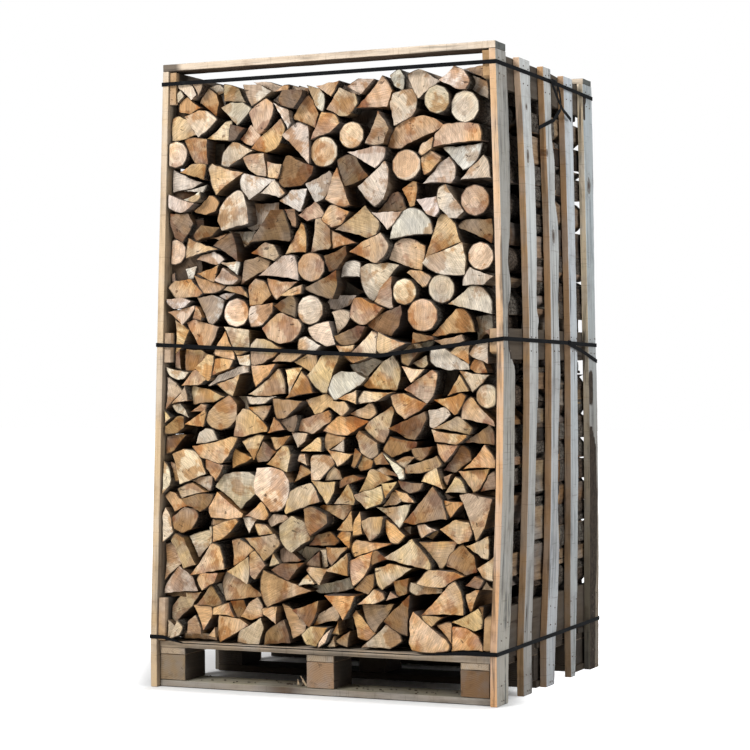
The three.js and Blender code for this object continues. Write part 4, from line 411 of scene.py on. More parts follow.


# The ends of the logs as they lie in the front, in centimetres: x from the middle, z from the
# ground, corner after corner. The letter is the look of the wood: p pale, w grey white, t tan,
# y yellow, o orange, b brown, m mossy, g grey, k dark ones that lie deep between the others
# and n dark ones beside the left panel, both painted dark as the shade there.
# R is a whole round stick: x, z and radius.
LOG_ENDS = """
p -57.3 17 -57.3 23 -54 20.3 -56 16.8 | p -55.5 16.6 -53 22 -51.2 20.2 -52.2 18
g -50 16.3 -49.5 19 -38.5 17.5 -38.2 16.2 | t -49 18.4 -48.7 22 -46 24 -44.3 22.3 -44.2 18.5
t -56.8 24.2 -50.3 31.3 -44.3 31.5 -47.5 27 -53.5 21.5 | t -47 27.3 -40 27.3 -39.6 25 -43.6 19.2
b -45 28 -40 34.4 -36.2 28.7 -38.5 27.6 | p -58.5 31.3 -52 40 -47 36.5 -45.5 32.5
p -60.3 33.5 -59.6 47 -54.5 48 -51.3 41.5
t -55 49.3 -53.5 51.3 -48 48.8 -44.8 43 -45.3 41.8 -50.3 40.3
p -47.8 50.3 -40.3 52.3 -39.8 48.8 -45 43.2 -47.6 46.5 | t -47.5 37.8 -39.8 48.5 -36.8 47.5 -35 40.2
k -36.3 47.8 -31.8 47.5 -31.6 42 -34.7 40.4 | t -45 36.5 -43.8 38.3 -38 38.3 -39.5 35 -43.3 32.8
k -38.5 39.3 -35.6 39.8 -36 34.5 -38.8 35.3 | g -39 34 -36 34.6 -34.8 29.3 -36 28.9
t -35.5 35.5 -33.8 39.3 -27 35.8 -21 31.6 -34.3 29.6 | y -33.6 39.6 -26.3 44.2 -25.6 39 -26.6 35.9
o -31.6 49.5 -29.5 50.2 -24 46.5 -26.3 44.2 -31 42 | t -25.8 45.8 -23.5 46.5 -20 42 -23.7 37.6 -25.6 39
t -27 50.3 -16 52 -14 49 -20.2 43.2 -23 46.3 | o -39.6 25.2 -39.4 27 -33 29 -31 24.5
b -33 29 -28 29.5 -27 27 -29 24.2 -31 24.5 | t -28.8 24.6 -26 28.6 -22.5 30.8 -20.7 28 -21 25 -25 23.6
t -37 24.2 -29 23.2 -26.5 21.5 -36.5 15.9 -38 18.5 | y -40.5 18 -38 21 -37.8 17.5
p -29.8 16.4 -28.8 20.2 -21.8 24.2 -20.8 21 -22.6 15.9 | b -20 16 -19.3 20 -13 24 -11 17
t -21 27.8 -16 28.5 -16.2 23.3 -20.5 26 | t -13.8 29.2 -8.5 26.2 -5 23 -5.5 20.3 -9.8 18.2
b -9.3 27.3 -1 30.3 -1.8 24.5 -3.5 22.5 | o -2.8 22.6 -1.5 25.3 5.3 29 7 25.8 6.5 24.6
y -6.5 19.8 -3.5 22.3 3 22 -0.8 16.2 -4.8 16.8 | p -0.4 16.3 0 18.5 3.6 21.3 2 17.8
p 3.4 16.2 5.4 19.3 5.6 16.3 | t 4 20 6.3 24 6.6 19.7 | t 6 17.6 10.3 20.4 9.5 16.4
k 7.2 25.2 10 26 12 24.5 12 21.3 7.5 23 | o 12.2 26.5 13.2 27.7 19.6 20.8 17 18.6 13.8 19.5
p 15.3 16.3 23.8 23.6 28.5 20.5 29 19 24.8 16.4 | b 15.8 30 25.5 30.2 23 25 19.9 21.3 17.8 23.5
o 2.4 32.4 12 32.5 8.4 25.6 | k 11.5 32 15.5 31.5 14.5 27.5 11 29.5
t -21.2 34 -20 40 -12 37 -3.3 33.8 -14.5 29.8 -18.8 28 | g -3.2 34.8 10.8 37.8 12 35 0 33
p -7 36 -4 39.3 -2.4 36.6 | t -4.8 40.2 -3.8 41.4 2.4 40.8 0 36.1 -1.2 36.4
b -17 40.4 -14 42.4 -6 42.6 -11 37.3 | p -17.8 41.8 -16.4 46 -14.2 42.8
b -14 43 -14 47 -11.5 48 -6.5 44 -8 43.3 | m -13.8 50 -14 55 -10 58 -5 56 -3.5 51 -10.8 46.3
g -10.5 45.8 -6 47 -4.6 46.4 -8 44.8 | g -6.1 45 -4.8 47.6 0 47 -4.8 42.7 | b -4.5 42.6 -0.3 46 0 41.8
g 0.8 47 2.6 47.3 2.8 42 1.3 41.5 | t 2.8 48 9.7 48.3 4.5 42.8 3.3 44.5 | y 2.7 40.8 10 46.2 10.2 39.7
o 10.7 43.8 17 46.8 20 47.8 19.5 45.5 15 38.5 12.2 36.5 | o 11 48.5 13.5 51 25.8 50.4 20.5 48 12.5 45.8
b 18.5 47.5 21.5 47.3 24 45.3 19 43.5 | o 6.9 52 8.3 53.6 11.6 53 11 48.3
b -3 49 -0.5 52 4 53 7 50.3 6 49.3 | b 12.8 35.2 16.5 39 19.3 39.8 19 36 17.3 33.8
y 14.5 30.6 19.5 35 22.5 34 22.8 32.5 19 30.8 | y 20.2 41.6 25.5 43.3 32 42 25.5 38.2 22.2 35.2 20.6 37
b 26.6 37.8 31.8 38.9 31.2 34.5 27.8 33.5 | t 24.3 32.3 25.5 34.7 27.5 33.3
b 22.8 25.3 31.4 33 30.7 21.2 27.5 22.2
o 31.6 18.5 32 26 33.8 29.5 35.5 28.5 41.5 24 46 18.5 45 17 32.5 16.6 | t 36.2 27.4 42.3 27 38 23.6
t 41.3 24.3 45.7 25.5 46 19.2 | o 46.3 17 46.6 24 51 23.8 55 21.3 56.6 17.4
y 45.6 25.8 54.8 30.6 56.8 27.5 56.3 24.5 53.5 23.3 | b 55.8 30.8 60 31 60 28 57.3 26.8
t 51.5 34.5 55.4 36.3 52.8 29.7 | t 36.2 27.6 47.3 39 49.6 35 50 28.3
p 31.2 35.5 32.5 37.8 43 36.2 42.8 35 34 34 | t 34.2 37.4 39 42.5 46 42.3 51 40.2 44.5 36.9
t 51.4 37.4 54.6 40.5 57.2 39.3 56.4 36.3 | p 55.8 36.3 57.5 39 60.2 36
p 55.3 43 60.8 46.6 60.6 39.4 57.3 40 | b 44.8 43.5 45.5 46.5 50 50 54 46.5 54.8 42 51 40.9
o 35 50.3 48.3 51 46 47.5 43 42.2 | y 23.5 45.6 33.6 51.9 36 49 39.2 44 39 42.4
y 51.6 50.2 58.5 53.2 58.8 46.3 57 46.6 | w -60.5 48 -60 54 -57 59.5 -54.5 55.5 -54 52.5 -58.5 48.7
b -54.5 54 -54.5 56.5 -50 60 -46 59.5 -45 57.5 -47.5 53.3 -51 52
t -57 64 -55.5 65.2 -53.5 64.8 -49 60.8 -53.5 59
b -51 63.2 -46 64.7 -39 64.5 -39.5 62 -44 59.3 -49.5 61.5
t -52 66.3 -46 68.6 -41 66 -42.5 65.2 -50.5 63.3 | p -47 69.4 -45.5 70.4 -39 70.5 -39.5 66.3 -41.5 66
p -54 78 -50 79.6 -44.7 78.5 -42.2 72 -42.3 70.6 -46 70 -51 67.5
w -60.5 75.5 -58 75.5 -55.8 73.5 -55 70.5 -56 67.3 -58.5 65 -60.5 65
b -55 75 -53.5 74.5 -51.5 69.5 -53.5 69 | b -59 81 -57.5 83.3 -51 84.5 -49.8 84.3 -54 79.3 -56.5 78.3
b -58.3 86 -52 90.5 -50 90.5 -49.8 87.5 -53 85.3 -56.5 85 | y -60.6 86.5 -60.6 94 -57 92 -55.5 90.3
k -49.5 87 -45 86.5 -46 82.5 -50 81.5 | w -45 82 -44 85 -41.5 86.5 -38.7 86 -37.4 83 -38.5 82.3
t -47 80.8 -46 81.3 -38 82.8 -31 84.6 -29.5 83.3 -34.5 76 -37 75.2 -41 76.6 -44.5 77.5
t -41.5 76.3 -39.5 75.8 -35.3 74.5 -37.5 69 -41.5 73.3
p -38.5 67.3 -36 70.8 -31 72 -25.5 71.9 -22.6 69.8 -23.6 65.3 -28.8 60.2 -33 63
o -40.3 61.5 -37.5 66 -35 64.5 -28.5 58.5 -29 57 -39.3 56.8 -40.2 59
p -39.5 54.8 -39 56.2 -31.5 56.6 -38.8 54.2
o -40.5 53.8 -34 54.5 -30.5 57 -29.8 56.3 -33.8 52 -37 49.8 -40.3 48.9
y -31.3 74 -30.8 79.8 -25 77 -27 75.6 | y -27.5 82.3 -21.5 84.5 -20.3 84.2 -23.7 77
t -30.7 84 -29.8 90.5 -27.5 93 -24.5 92.5 -18.6 87.2 -19 86 -29.5 83.9
p -40 54 -39 54.5 -38.5 52 -40 51 | w -27.5 57 -25.5 52.8 -23 56.8
o -26.3 58 -20.5 62.7 -18.5 58 -20.5 56.9 | o -49.3 88.4 -42 93 -41 91 -42 87.6
t -41.7 90 -39.8 92.5 -36 95.5 -32.5 97.4 -30.2 94.5 -30.3 90 -32.5 87.8 -36 86.4 -39.5 87.4
t -18.6 56.8 -17 58.3 -12 58 -11.3 57 -17.8 54.6 | t -23 55 -19 54.8 -17 52.6 -21.8 52
p -22 73.5 -17.5 73.8 -13.5 73 -11.3 69.5 -11 66 -12.5 62 -15 60 -18.5 59.6 -22.8 64.3 -23.3 68.5
t -12.3 60.5 -10.5 66 -6 68 -3 68.8 -2 68 -0.4 63.2 -5.5 61.2 -11.8 59.2
b -5.2 60.5 -3 61.2 2.2 59.3 2.5 56.3 -3.2 52.4 -4.9 55 | g 2.3 59 5 57.6 4.8 56 2.6 56.3
t 0.2 60.9 1.5 61.8 11.5 62.3 11.8 61 8.5 57 | t 5.8 62.4 10.6 68.8 12.8 64.5 12 62.2
y -2.8 69.6 5.7 69.4 5 66 2.7 62.2 | k 5.9 69.2 8 69 7.2 66 4.2 63
b 7.8 67.6 8 70 12 71.6 16 70.8 11.2 69.2 | t 2.7 70.2 3.2 72.3 5.3 74.3 7.2 73 8.3 70.6
p -2.6 77 -2 77.8 4.5 77.5 5.6 75.3 2.3 72 0 70.1 -2.2 70.2 | o -8.2 69.8 -6.4 74.4 -2.8 72.5
p -7.2 76.4 -6.5 78.3 -5.3 78.2 -4.8 75.4 | k -5 78.2 -2.9 78 -2.8 73.8 -4.6 75
y -18.8 75 -13 81 -11 80.8 -10.3 78 -11.8 72.7 -14.5 74 | k -10.2 80.8 -7.7 80.5 -7 73.5 -11 73
t -17 83.5 -10.8 84.3 -13 81.5 -15.5 80 | b -22.5 77.5 -20 82.3 -15.6 79.4 -18.8 76.3 -22 76
p -9.8 85.6 -4.2 85.2 -5 83 -7.6 80.8 | y -5.2 79.8 0 83.7 1.3 83.3 1.5 79.7
o 1.7 81.6 3.3 85.3 9 83.6 6.5 81.5 3.5 79.8 | w 5 79.9 8.8 82.7 9 79.4 | t 3.7 79.8 9 79 11.5 78.4 7 75
k 9.3 83 13 82.8 13 79.7 9.2 79.5 | t -8 85.9 -6.5 90 -1 91 3.6 92.9 4.8 91.5 4.5 89.4 -3 84.8
t -17.9 85.8 -16 90.1 -12.8 86.8 | b -14 89.2 -8 91 -7.2 89 -8.3 86 -10.3 85.8
o 2.5 86.2 8.3 91.1 11.5 91 17.2 89 10 84.8 | t 13.9 84.5 15 86.1 20.5 82.5 21 78.6 18.5 77.4 15.3 79.3
b 12.2 74.8 13.3 80 15.6 78 14 75.8 13.5 74 | t 13.8 75.3 16 77.8 19.2 76.4 18.4 74.3 15 73.5
y 17 87 18 88.5 26 93.6 26.8 92.3 25 86 23.2 82.4 21.3 82.7
y 14.7 66.5 18.3 73.3 20.2 73.6 26.2 70.7 20 67.8 | y 12.8 65.2 18 66 22.5 68.2 22.6 63 17.2 61
y 22.2 69 26.8 69.5 23.4 64.8 | t 7.2 54.3 11.3 59.4 12 54 | o 12.3 52.6 13 57.5 14.8 59.8 15.3 53.3
t 15 56.8 18.5 58.2 22.8 58.4 21.5 53.5 18 51 | o 24 57.2 27.5 54.8 30 52.5 27.8 50 25.8 50.3 24.2 53.5
p 20.3 61.6 32.4 62.8 30.2 58 28.2 55 | g 29.5 54.6 32.2 54.9 32 52.3 29.6 53
b 30.3 57.2 40 68.2 43 64.5 44.9 58.3 34.5 56.5 | p 35 56.3 36.5 56.6 40.4 54.6 36.3 52.6
g 37 52.8 40.6 54.9 41.8 54 40 51.6 | t 43 55 48 57.9 52.2 57.2 53.3 54.3 52 51.8 48.5 50.9
t 49.5 65.8 52 66.4 59.8 64.8 57.2 56 54.8 52 | k 59.5 64 61 63.5 61 53.5 57 54.5
o 43.8 63.8 49.8 63.3 46 59.3 44.6 61.3 | g 41.3 66.8 46.5 65 43.8 63.8
k 48 62.5 50.4 62 50.8 58.4 47 59 | y 44.2 66.9 47.5 71.7 49.3 71 51.2 67
o 49.4 73.1 59 73.9 55.3 67.5 54.3 67 | b 57 67.6 59.5 72.3 61 73.2 61 68.3
y 36.5 70.2 38.3 72.8 41.6 74.4 43 72 44.4 67.7 | t 43.8 71.2 46 72 45 69.7
b 28.5 70.3 36.4 69.6 35.8 67.8 32.5 66.6 29.5 68 | p 22.8 62.2 26 66.4 28.9 66 28.9 63.8 26.5 62.2
t 27 67 31 66 33 63.7 29 64 | w 22.6 79.8 27.5 76.2 29.8 74.5 30 71 28.6 70.6 27.2 73.6
p 27.8 76.3 31.5 77.8 33.7 77.4 31 74.8 29.5 74.3 | b 19.8 77 22.7 79.2 24.8 75.8 20.5 75.6
t 21 73.4 23.2 74.2 27 72.4 27.4 71.9 22.5 72.5 | b 30.8 75 35 75.6 41.3 78.2 43.4 75.2 35 73 31 73
b 33.3 80.3 39.2 80.9 38 78.6 36 77 34.2 77.8 | b 23.3 80 25.5 84 34.5 82.4 34.3 81 26.2 77.8
b 25 86.8 30.5 88.6 37.6 92 38.3 90.8 34 83.6 31.5 84
o 42 81.8 48.3 81.6 46.8 78.8 44.5 76.6 42.7 78.6
b 43.2 74 48.3 80.5 50.5 81.4 52.7 80 53.2 77 48 73.2 | o 51.5 74.6 57.8 81.5 61.2 77 61 75
b 51 82.8 59.3 88.4 61 85.5 61 82 | y 40.3 86.4 51.5 85 52 84 48.8 81.8 41.3 82.8
t 40.6 86.8 48.6 90.7 53.5 87 52.5 85.1 | w 38.9 92.5 39.3 87.8 41 87.3 46 91.5 45 93.5
o 50.3 90.4 51 94.8 53.2 96.7 56 95 60.5 90.5 61 88.2
p -60.4 95 -60.4 101.5 -58 104 -55.5 103.5 -50.5 99.3 -56.8 93.4
w -53.7 94.3 -51.5 95 -49.8 93 -48.7 90.5 -52 91.8 | k -50.5 94.8 -46.5 93.6 -46 91.4 -48.3 90.6
o -46 92.6 -43 94.6 -41.4 94.2 -42 92.5 | t -53.8 95.2 -48.8 101 -47.9 96.2
y -47.4 97.5 -46.5 100.6 -40.5 99.4 -35 97.2 -38 95.8 -46.9 95
o -49.8 101.3 -46 105.8 -44 106.1 -41.3 103.3 -44.5 101.3
w -56.7 107.5 -48 105.7 -50 103.5 -52 103.2 -55.3 104.8 | o -55.2 108.7 -51.6 112.3 -51.2 106.4
k -51.2 112.8 -48.9 113 -49 106.2 -50.8 106.4
o -48.6 106.2 -48.3 112.8 -43 112.5 -40.8 111 -46.3 106.2
y -46 106.3 -40.5 111 -37.8 110.3 -38.8 105.5 -40.4 101.5 -43.5 105
w -40.8 101.5 -38 104 -30 106.8 -25.2 107.3 -25.6 105.4 -39.8 100.9
o -38.8 104.8 -38.6 109.5 -31.3 109.4 -32.8 106.6
o -38.2 111.5 -36.8 114.5 -33.8 118.6 -31.3 113 -30.7 109.7
y -34 120 -25.2 118.8 -25 112.8 -29.5 111 -31.6 114 | w -29.3 110.6 -28.3 107.9 -24.6 107.5 -24.8 111
t -48.3 121.8 -45.5 123 -36.6 120.4 -39.8 113.6 -43.2 113.6
y -55.8 122.8 -53 123 -48 119.6 -50.6 114 -53.5 111.6 -55.2 113.5
p -55.3 125.8 -46 127.7 -45.6 127 -50.2 121.6 | w -56.4 129.6 -51 130.5 -47.8 129 -50 127 -53.5 127
o -45.9 123.6 -44.8 126.9 -42.8 125 -43.3 122.9
w -44.6 130 -37 131 -34.6 129 -35.5 125 -39 121.4 -41.2 122.3 | R -29.7 125 4.8
p -25.2 123.6 -24.3 126.7 -16.5 127.6 -16.6 125 -20.5 121 -24.3 120.5
y -24.7 113.6 -22.5 116 -19.5 115.8 -13.8 113 -16 110.8 -21 108.2 -24.3 107.8
o -24.3 107.3 -16 107.7 -20.3 102 -22.6 100.5 | y -37 101.3 -29 104.4 -31.8 97.6
k -29 103.6 -24 104.5 -22.9 101 -27 98 -31 98
y -25.5 98.4 -20 102.2 -15 106.4 -14 106 -12.4 102.5 -12.2 98.6 -21 97.4
g -30.2 94.6 -31.8 97.2 -26.8 97 -25.4 93.3 -29.5 91 | p -25.8 97.3 -15.8 97.3 -19.5 95.3 -25 95.2
o -25 93.4 -17.8 93.9 -20.5 89.2 | b -16.3 96.2 -6.5 95.6 -12.3 90.4 -15 90.3
k -11 91 -5.2 95.8 -1.5 90.6 | t -4.3 95.8 3.3 97.8 5.6 96.3 3.3 94 0 91.3 -1.2 91.2
t 3.3 94.3 5 95.8 9.2 95.5 11.2 93 8.8 90.9 | t 12 91.6 19.2 94.9 20.6 92 18.5 90.3 14 90.8
t 8.2 96.6 13.8 98.9 13.8 95 | y 13.8 95.8 16.2 98.7 25.8 98.3 20.5 95.7 15 95
o -10.9 97.2 -5.8 105.2 -4 103.6 -2.4 98.8 | y -11.3 105.8 -6.2 106.4 -10.4 98.6
g -13.8 106.2 -11.5 106 -10.8 98.8 -12 98.7 | y -4.5 104.3 0 110 8.4 110.6 5.3 104 3.8 98.5 0.8 98.7
o -8.3 108.8 -4.5 110.9 -0.6 110.3 -0.4 106.9 -2.8 105.6 | t -15.8 109.1 -12.5 112.2 -6 111 -8.6 108.8
p -6.8 112.6 -6.5 115.8 -4.5 116.5 0.3 113.7 -1.6 112
o -20 119.6 -18 116.5 -14 114.8 -10 115.4 -7 117.6 -5.7 120.8 -7 122.4 -12.5 124.5 -14.5 124
b -15.5 127 -9.5 130.2 -7.2 127.5 -7.5 123 -11 124 | R -2.7 125.4 4.9
p -3.1 119.4 5 121.6 5.9 117.5 6.8 114.6 3 113.8 -0.8 115.6 -2.7 117.8
p 4.5 124.3 9 125.2 11.9 124.2 10 120.5 6.6 117.2
b 5.9 116.6 14.5 119.8 16.6 119.6 14.5 115.8 12 114 8.3 113.9
o 11.6 123 13.3 128.6 16 128.9 22.8 125.8 18.4 120.6 15 120.6
g 3 126.6 5.5 130 13.3 129.6 11.5 127.3 7.5 125.7 | y 7 113.6 12.8 113.7 12.3 112 8.2 111.6
y 12.3 111.7 19.6 118.5 21.4 117.5 20.6 111.3 | o 9 110.4 19 110.4 12 108.1
g 11.9 107.2 20 109.2 22.5 108.3 17.3 103.4 13.5 104.8
w 3.6 100 4.3 103 8 105 13 104.9 17 102.6 13.5 100.4 6 96.2
y 16.3 101.3 21.5 107.3 26.5 110 28.9 106 28.8 103 27.6 99.5 17.5 100.3
o 26 97.4 30 97.9 37.6 94.8 35 92.4 30.6 90.2 28 92.3 | k 19 95 24.5 97.6 26.3 96 27.3 92.4 22 91.6
t 31 99.5 34 101.6 40.5 105.2 41.7 104.5 40.2 97.5 38 95.2 | k 42 105 49 105.2 46.5 98.3 40.8 97.2
y 30 106.9 37.2 106 33 102 | b 29.8 111 35.5 111.4 32 107.2 30 108
y 34.2 107.8 38 109.7 38.5 107.5 36.9 106.2
w 39.8 108.5 40 112 44.3 112.4 52.8 107 52.9 105.7 46 105.6 41.5 106.9
y 46.7 111 48.5 112.5 52.6 112.9 52.3 107.9
p 53.1 110.6 56 113.9 61 114 61 109.3 58.8 107.6 54.5 109.3
o 53.1 106.2 54.8 108.6 57.2 108.2 58.5 104.8 55.5 104.6 | k 57.8 108 61 107.3 61 104.4 58.6 104.8
p 49.4 105.2 59 103.8 53.4 98.4 | t 46.2 97.8 49.9 104 52.5 99.2 | R 58.9 97.2 3.9
o 40.8 95.8 50.3 97.9 51.4 97.2 48.5 92 47.3 91.3 | R 37 123 5.4 | R 30.8 130.6 4.3 | R 43.6 131.3 4.7
p 46.6 126.6 51 129.5 54.5 132.5 57.5 131 60.5 127 60.5 123.4
o 40.6 116.4 48.8 124.6 51 124.6 53.5 121.5 54.4 117.8 | g 55.2 122 60.6 122.4 60.6 118.5 56 115.2
o 58.8 117.6 61.2 118.2 61.2 115.4 | t 41.5 115 50.5 116.3 51.2 115 44 113.4
b 33.6 114.2 34.2 118.3 40.2 117 40.6 115.4 | g 30 111.8 33 113.6 41 115.2 40.8 114 36 112.3
y 20.8 112.5 21.8 117.4 25 116.4 30.3 114.2 22.8 110.6
b 17.5 120.8 22 123.7 29.3 126.5 29.8 124 28.5 119.5 25.2 116.2 18.2 119
t 20.6 127.6 22.8 132.5 26 135 26.4 129 26.5 125.4
o -54.9 133.8 -52.5 136 -46.5 136.5 -42.6 132.2 -45.5 130.2 -51.8 129.9
o -45.3 138 -41 136 -33.7 134.3 -36.5 132.4 -42.3 131.9
w -36.5 130.3 -33.5 131.4 -31.3 131.3 -34.2 129.3 | o -33.9 132.8 -32.3 134.1 -28.3 133.8 -25.7 130.4
o -25.2 130 -24.6 133.8 -22.3 135.8 -19 134.6 -17.2 130.8 -20.5 127.8 -25 127.5
t -28.6 134.2 -28 138.5 -26.5 141.8 -21.5 143.2 -17.5 141.6 -18.5 139.5
p -37.7 136 -33.9 140.3 -28.3 136.6 -31 134.7 -35 134.6 | w -34.8 141.6 -28.4 141.7 -29.7 137.2
t -43.5 138.2 -36.7 140.4 -38.2 135.4 | k -45.3 141.6 -42 142.4 -36 141 -42.5 139.6
w -43.7 143.2 -41.8 144.8 -37.8 145.3 -34.2 142.6 -36.5 141.2
w -48.4 139.8 -45 140.4 -46.3 136.8 -47.5 137 | k -56.5 142.5 -53 141.9 -50 139 -56 138.6
w -57 137.5 -53.3 138.5 -53 136 | R -52.8 145.8 4.4
t -48.4 143.6 -47.6 149.9 -45.5 149.4 -36.5 146.2 -42 145.2
b -38.5 147.2 -31.6 151.2 -30 147 -29.3 141.8 | o -39.4 150.4 -33.3 151.7 -34.7 149.4
b -45.6 150.8 -43 153.9 -36.5 153 -40 149.8 -44.5 149
b -55.5 158.6 -48 158.4 -46.2 155 -50.2 149 -52.5 150.2 | g -47.6 158.2 -42 156.9 -42.5 154.6 -46 154.9
p -58 165 -54.5 164.6 -45.3 161.4 -50.5 158.9 -55.5 161
o -46.2 160.2 -41.5 164.3 -38 163.9 -36 161.8 -37.2 159.5 -41 158.3 -44.8 159.2
w -49 163.2 -43.5 165.4 -43 163.3 -45.8 162.2 | w -47 166.2 -41 167.5 -42 165.5
p -55.2 166 -53.4 173.2 -50 171.8 -43.2 168.7 -46.5 167
p -36.4 155.3 -35.3 159.5 -32.5 163 -29 164.9 -27.4 164.8 -25.8 159 -25.6 154.6 -35 152.6
g -32 152.4 -22.8 151.8 -25 148 -28 146.7
g -25.4 161.6 -13.8 161 -13.8 158.4 -19.5 155.5 -23 152.5 -25.2 153.5
w -28 168.5 -27 171 -21 169.8 -15.8 168.2 -20 165.2 -25 162.2 -27.3 165
t -39.5 173 -38.5 174.2 -27.5 170.8 -34 166 -36.6 164.2 -37.5 167.5
t -17.7 135.6 -8 134.4 -14.8 129.3 -16.8 132 | t -12.5 130.4 -4.8 133.6 -5.2 130.8 -9.5 130.2
b -24.2 148.2 -16.5 158.2 -12 158 -10 148.2 | o -23.3 144.6 -19 147.6 -16 146.7 -13.8 143 -15.2 141.9
p -20.8 137.3 -14.5 142 -11.5 143.2 -8.5 143.1 -6.8 139 -6.5 135.4 -12 136.4
o -11.8 144.2 -6.2 154 -4.9 153.3 -4.2 144.6 | k -4.6 153.8 -0.9 153.5 -1.9 145.2 -4 145
t -1.9 144.6 -0.2 155.1 1.3 155 4.8 151.3 5.3 147 4 145.3 | t 4.9 151 12.8 147 5.3 145.6
o 1.8 154.7 5 158.9 6.5 158.8 11 156.6 8.6 153 5.3 152.2
o -6.7 156.9 -1 160.7 1 159 2.6 156.4 0 155 -3.2 154.5 | b -11.6 158.2 -8 158.3 -7.7 152.8 -9.3 153.3
w -13.5 161.5 -9.8 164.3 -3.8 164.5 -6.3 157.6 -10 160.2
p -19.8 164.2 -16.2 167.3 -14.5 168.2 -10.8 164 -13.5 162.6
b -14 166.8 -11.3 175.5 -9.5 175.9 -1.5 172.2 -2 169.8 -5.5 166.4 -12 166
w -3.4 166.4 4.6 170 5.3 169 4.8 164.8 1.5 161.3 -0.4 160.7
t 3 161.4 5.2 167 7.5 170.5 9.5 165.5 11.6 159.2 9.6 158.6 | k 10.2 165.5 15 164.5 17 159.8 12 159
b 7.8 173.4 11.5 174.9 14 174 18 168 13.5 166.3 9.6 165.3 8.5 170
p 14.8 164.8 20 169 24 172.2 25.2 170 25 165 23.5 160.5 20.6 158.3
t 7 151.4 18.5 159.3 20.5 157.5 22.3 151.8 20.8 148.8 18.8 148.2
p 17.5 156.1 29.8 156 23.8 149.3 22.3 152.5 | t 12 144 18.5 148.2 22.5 149.7 26 144.5 20.8 140.1
b 2.8 142.6 9.8 145.5 10.4 142.5 7.8 139 4.6 138 | w 8.7 136.2 9.6 140.3 12.8 141 15.6 140.2 15.3 136.2
R -2.2 139.4 4.9 | b -4.8 132.6 1 135.3 6.8 137.7 7 133.5 5 129.2
k 7 135 10.5 134.6 16 131.2 13 129.8 5.8 130.3
p 15.4 138.5 18.5 140 24.5 140 28.9 139 23.5 132.5 20.3 128.3 18.6 128.6 16.4 132.3
o 31.5 136.2 33 137.3 36.5 137 39.8 135 38.4 132.6 36 131.8 33.8 133.8
o 25 141.8 26.6 145.4 30 147.4 33 147.5 38 145 37.2 141 36.6 137.8 33.5 138.5
w 26.4 147.9 27.3 152.3 30.5 156 33 157 36.5 156.2 39.6 153 40.3 149.2 35.5 148.5
t 38.3 141.8 40.3 147.5 43 154.9 45.5 154.8 48.5 151.8 50.4 146.3
p 37.3 139.6 38.5 141.2 42.5 141.8 50.6 145.2 51.6 140 51.3 135.8 42 136.5
p 51 131.6 51.3 134.8 53.2 137.6 60.6 134.8 56.5 131.6 | k 57.2 132.7 61 134.6 61 128.5 58 131
R 57 141.2 4.5 | b 49.6 151 52 152.7 60.6 152.6 61 149 60.4 145.8 56 148.4 | R 55.2 158.9 5
p 42.3 159.5 43.3 163 45.6 164 51 155.8 48.6 153.6 46 153.8 43.2 157
w 35.8 159.4 42.2 160.2 43.2 155.5 42 154.2 38.8 155.2
o 30.5 163.4 34.2 165.6 35 165.3 34.4 158.3 33.2 158
b 22.3 156.6 27 162 29 162.3 31.6 157.2 29.9 156.4 | k 35.2 165 43 164.8 42.2 160.6 35 160.2
p 37.3 165.3 40.3 168.5 42 170.3 45.5 171 47 172.8 48.5 170 48.3 166.5 47 164.9 41 165.4
p 51.2 166 53.5 168.8 58.2 172.7 59.4 171.5 60.2 166.2 | R 31.8 171 5.1
o -49.6 172.3 -45.5 174.7 -41.2 174.4 -41.8 169.8 | R -52.2 178.2 4.5
o -49.3 182.3 -46 183.7 -40.8 183.2 -40.7 175 -44 175 -47 177.2
k -40.4 182.3 -34 181.6 -35 174.6 -40.4 175
t -54.8 185 -52.8 190.3 -51 190.9 -48 189.6 -44.9 184.9 -49 183.6 -54.5 183.3
p -48.2 190.6 -43.5 192.4 -40 191.8 -37 189.4 -43.4 184
o -53 194.2 -47.8 197 -43.2 193.6 -46.8 191.9 -51.8 193.2
p -51.6 201 -48 201.8 -45.6 200.3 -44.6 197.8 -46.5 196.4 -50 199.6
p -51.7 198 -50.2 199.4 -49.2 197.4 -51 195.7 | o -45.4 201.3 -42 201.2 -43.3 197.8
o -43 195.6 -39.8 199.9 -37 197.8 -36 195 -37 190.9 -40.3 194
g -39 200.4 -35.5 201 -33.4 199 -37 197.8 | g -36.3 198 -33.5 198.5 -33.6 194.6 -36 194.9
y -33.6 200.8 -28.6 199.3 -26.2 195 -33.5 195.8
p -26.3 199.8 -21 199.6 -16 196.9 -18 195.5 -23.3 192.9
p -34.3 192.9 -31 194.2 -26.5 193.8 -23.8 191.8 -28.7 186.9
o -24.4 191 -18.3 195.3 -16.2 193.8 -15.7 191.5 -17.3 187 -20.3 183.7 -22.4 184.6
o -28.4 183.2 -25.4 186.5 -23.8 187 -20.2 183.3 -23.4 180.3 -26 181.2
y -39.8 183.2 -33 188.3 -31.2 188.5 -31.9 182.2
b -31.4 187 -29 186.3 -26.5 185.5 -28.5 182.2 -31.8 182
p -34.9 174.2 -34.2 177.5 -30.5 181 -28.6 180.7 -23.5 177.8 -29 176.6 -31.9 173.3
t -26.9 176.2 -19.6 176.8 -18.3 169.8 -21.5 170 -24.8 172.5
o -23.2 179.2 -20.5 182.8 -13 188.2 -11.3 184.8 -13 181 -15.3 178.6 -18.5 177.7
o -18.2 174 -12.8 172.8 -13.9 168.8 -18 169.5 | w -15.2 193.2 -9.3 190.4 -8.9 188 -10.3 185
p -15.6 194.6 -13.2 196.2 -13.6 193.6 | b -13.6 194.2 -12 197.4 -5.3 196.8 -6.3 192 -8 191.4 -13 192.9
o -15.8 197.2 -13.2 198.9 -10 199 -10.3 197.4 | g -10 199.3 -2.8 197.8 -3 196.4 -9.8 197.6
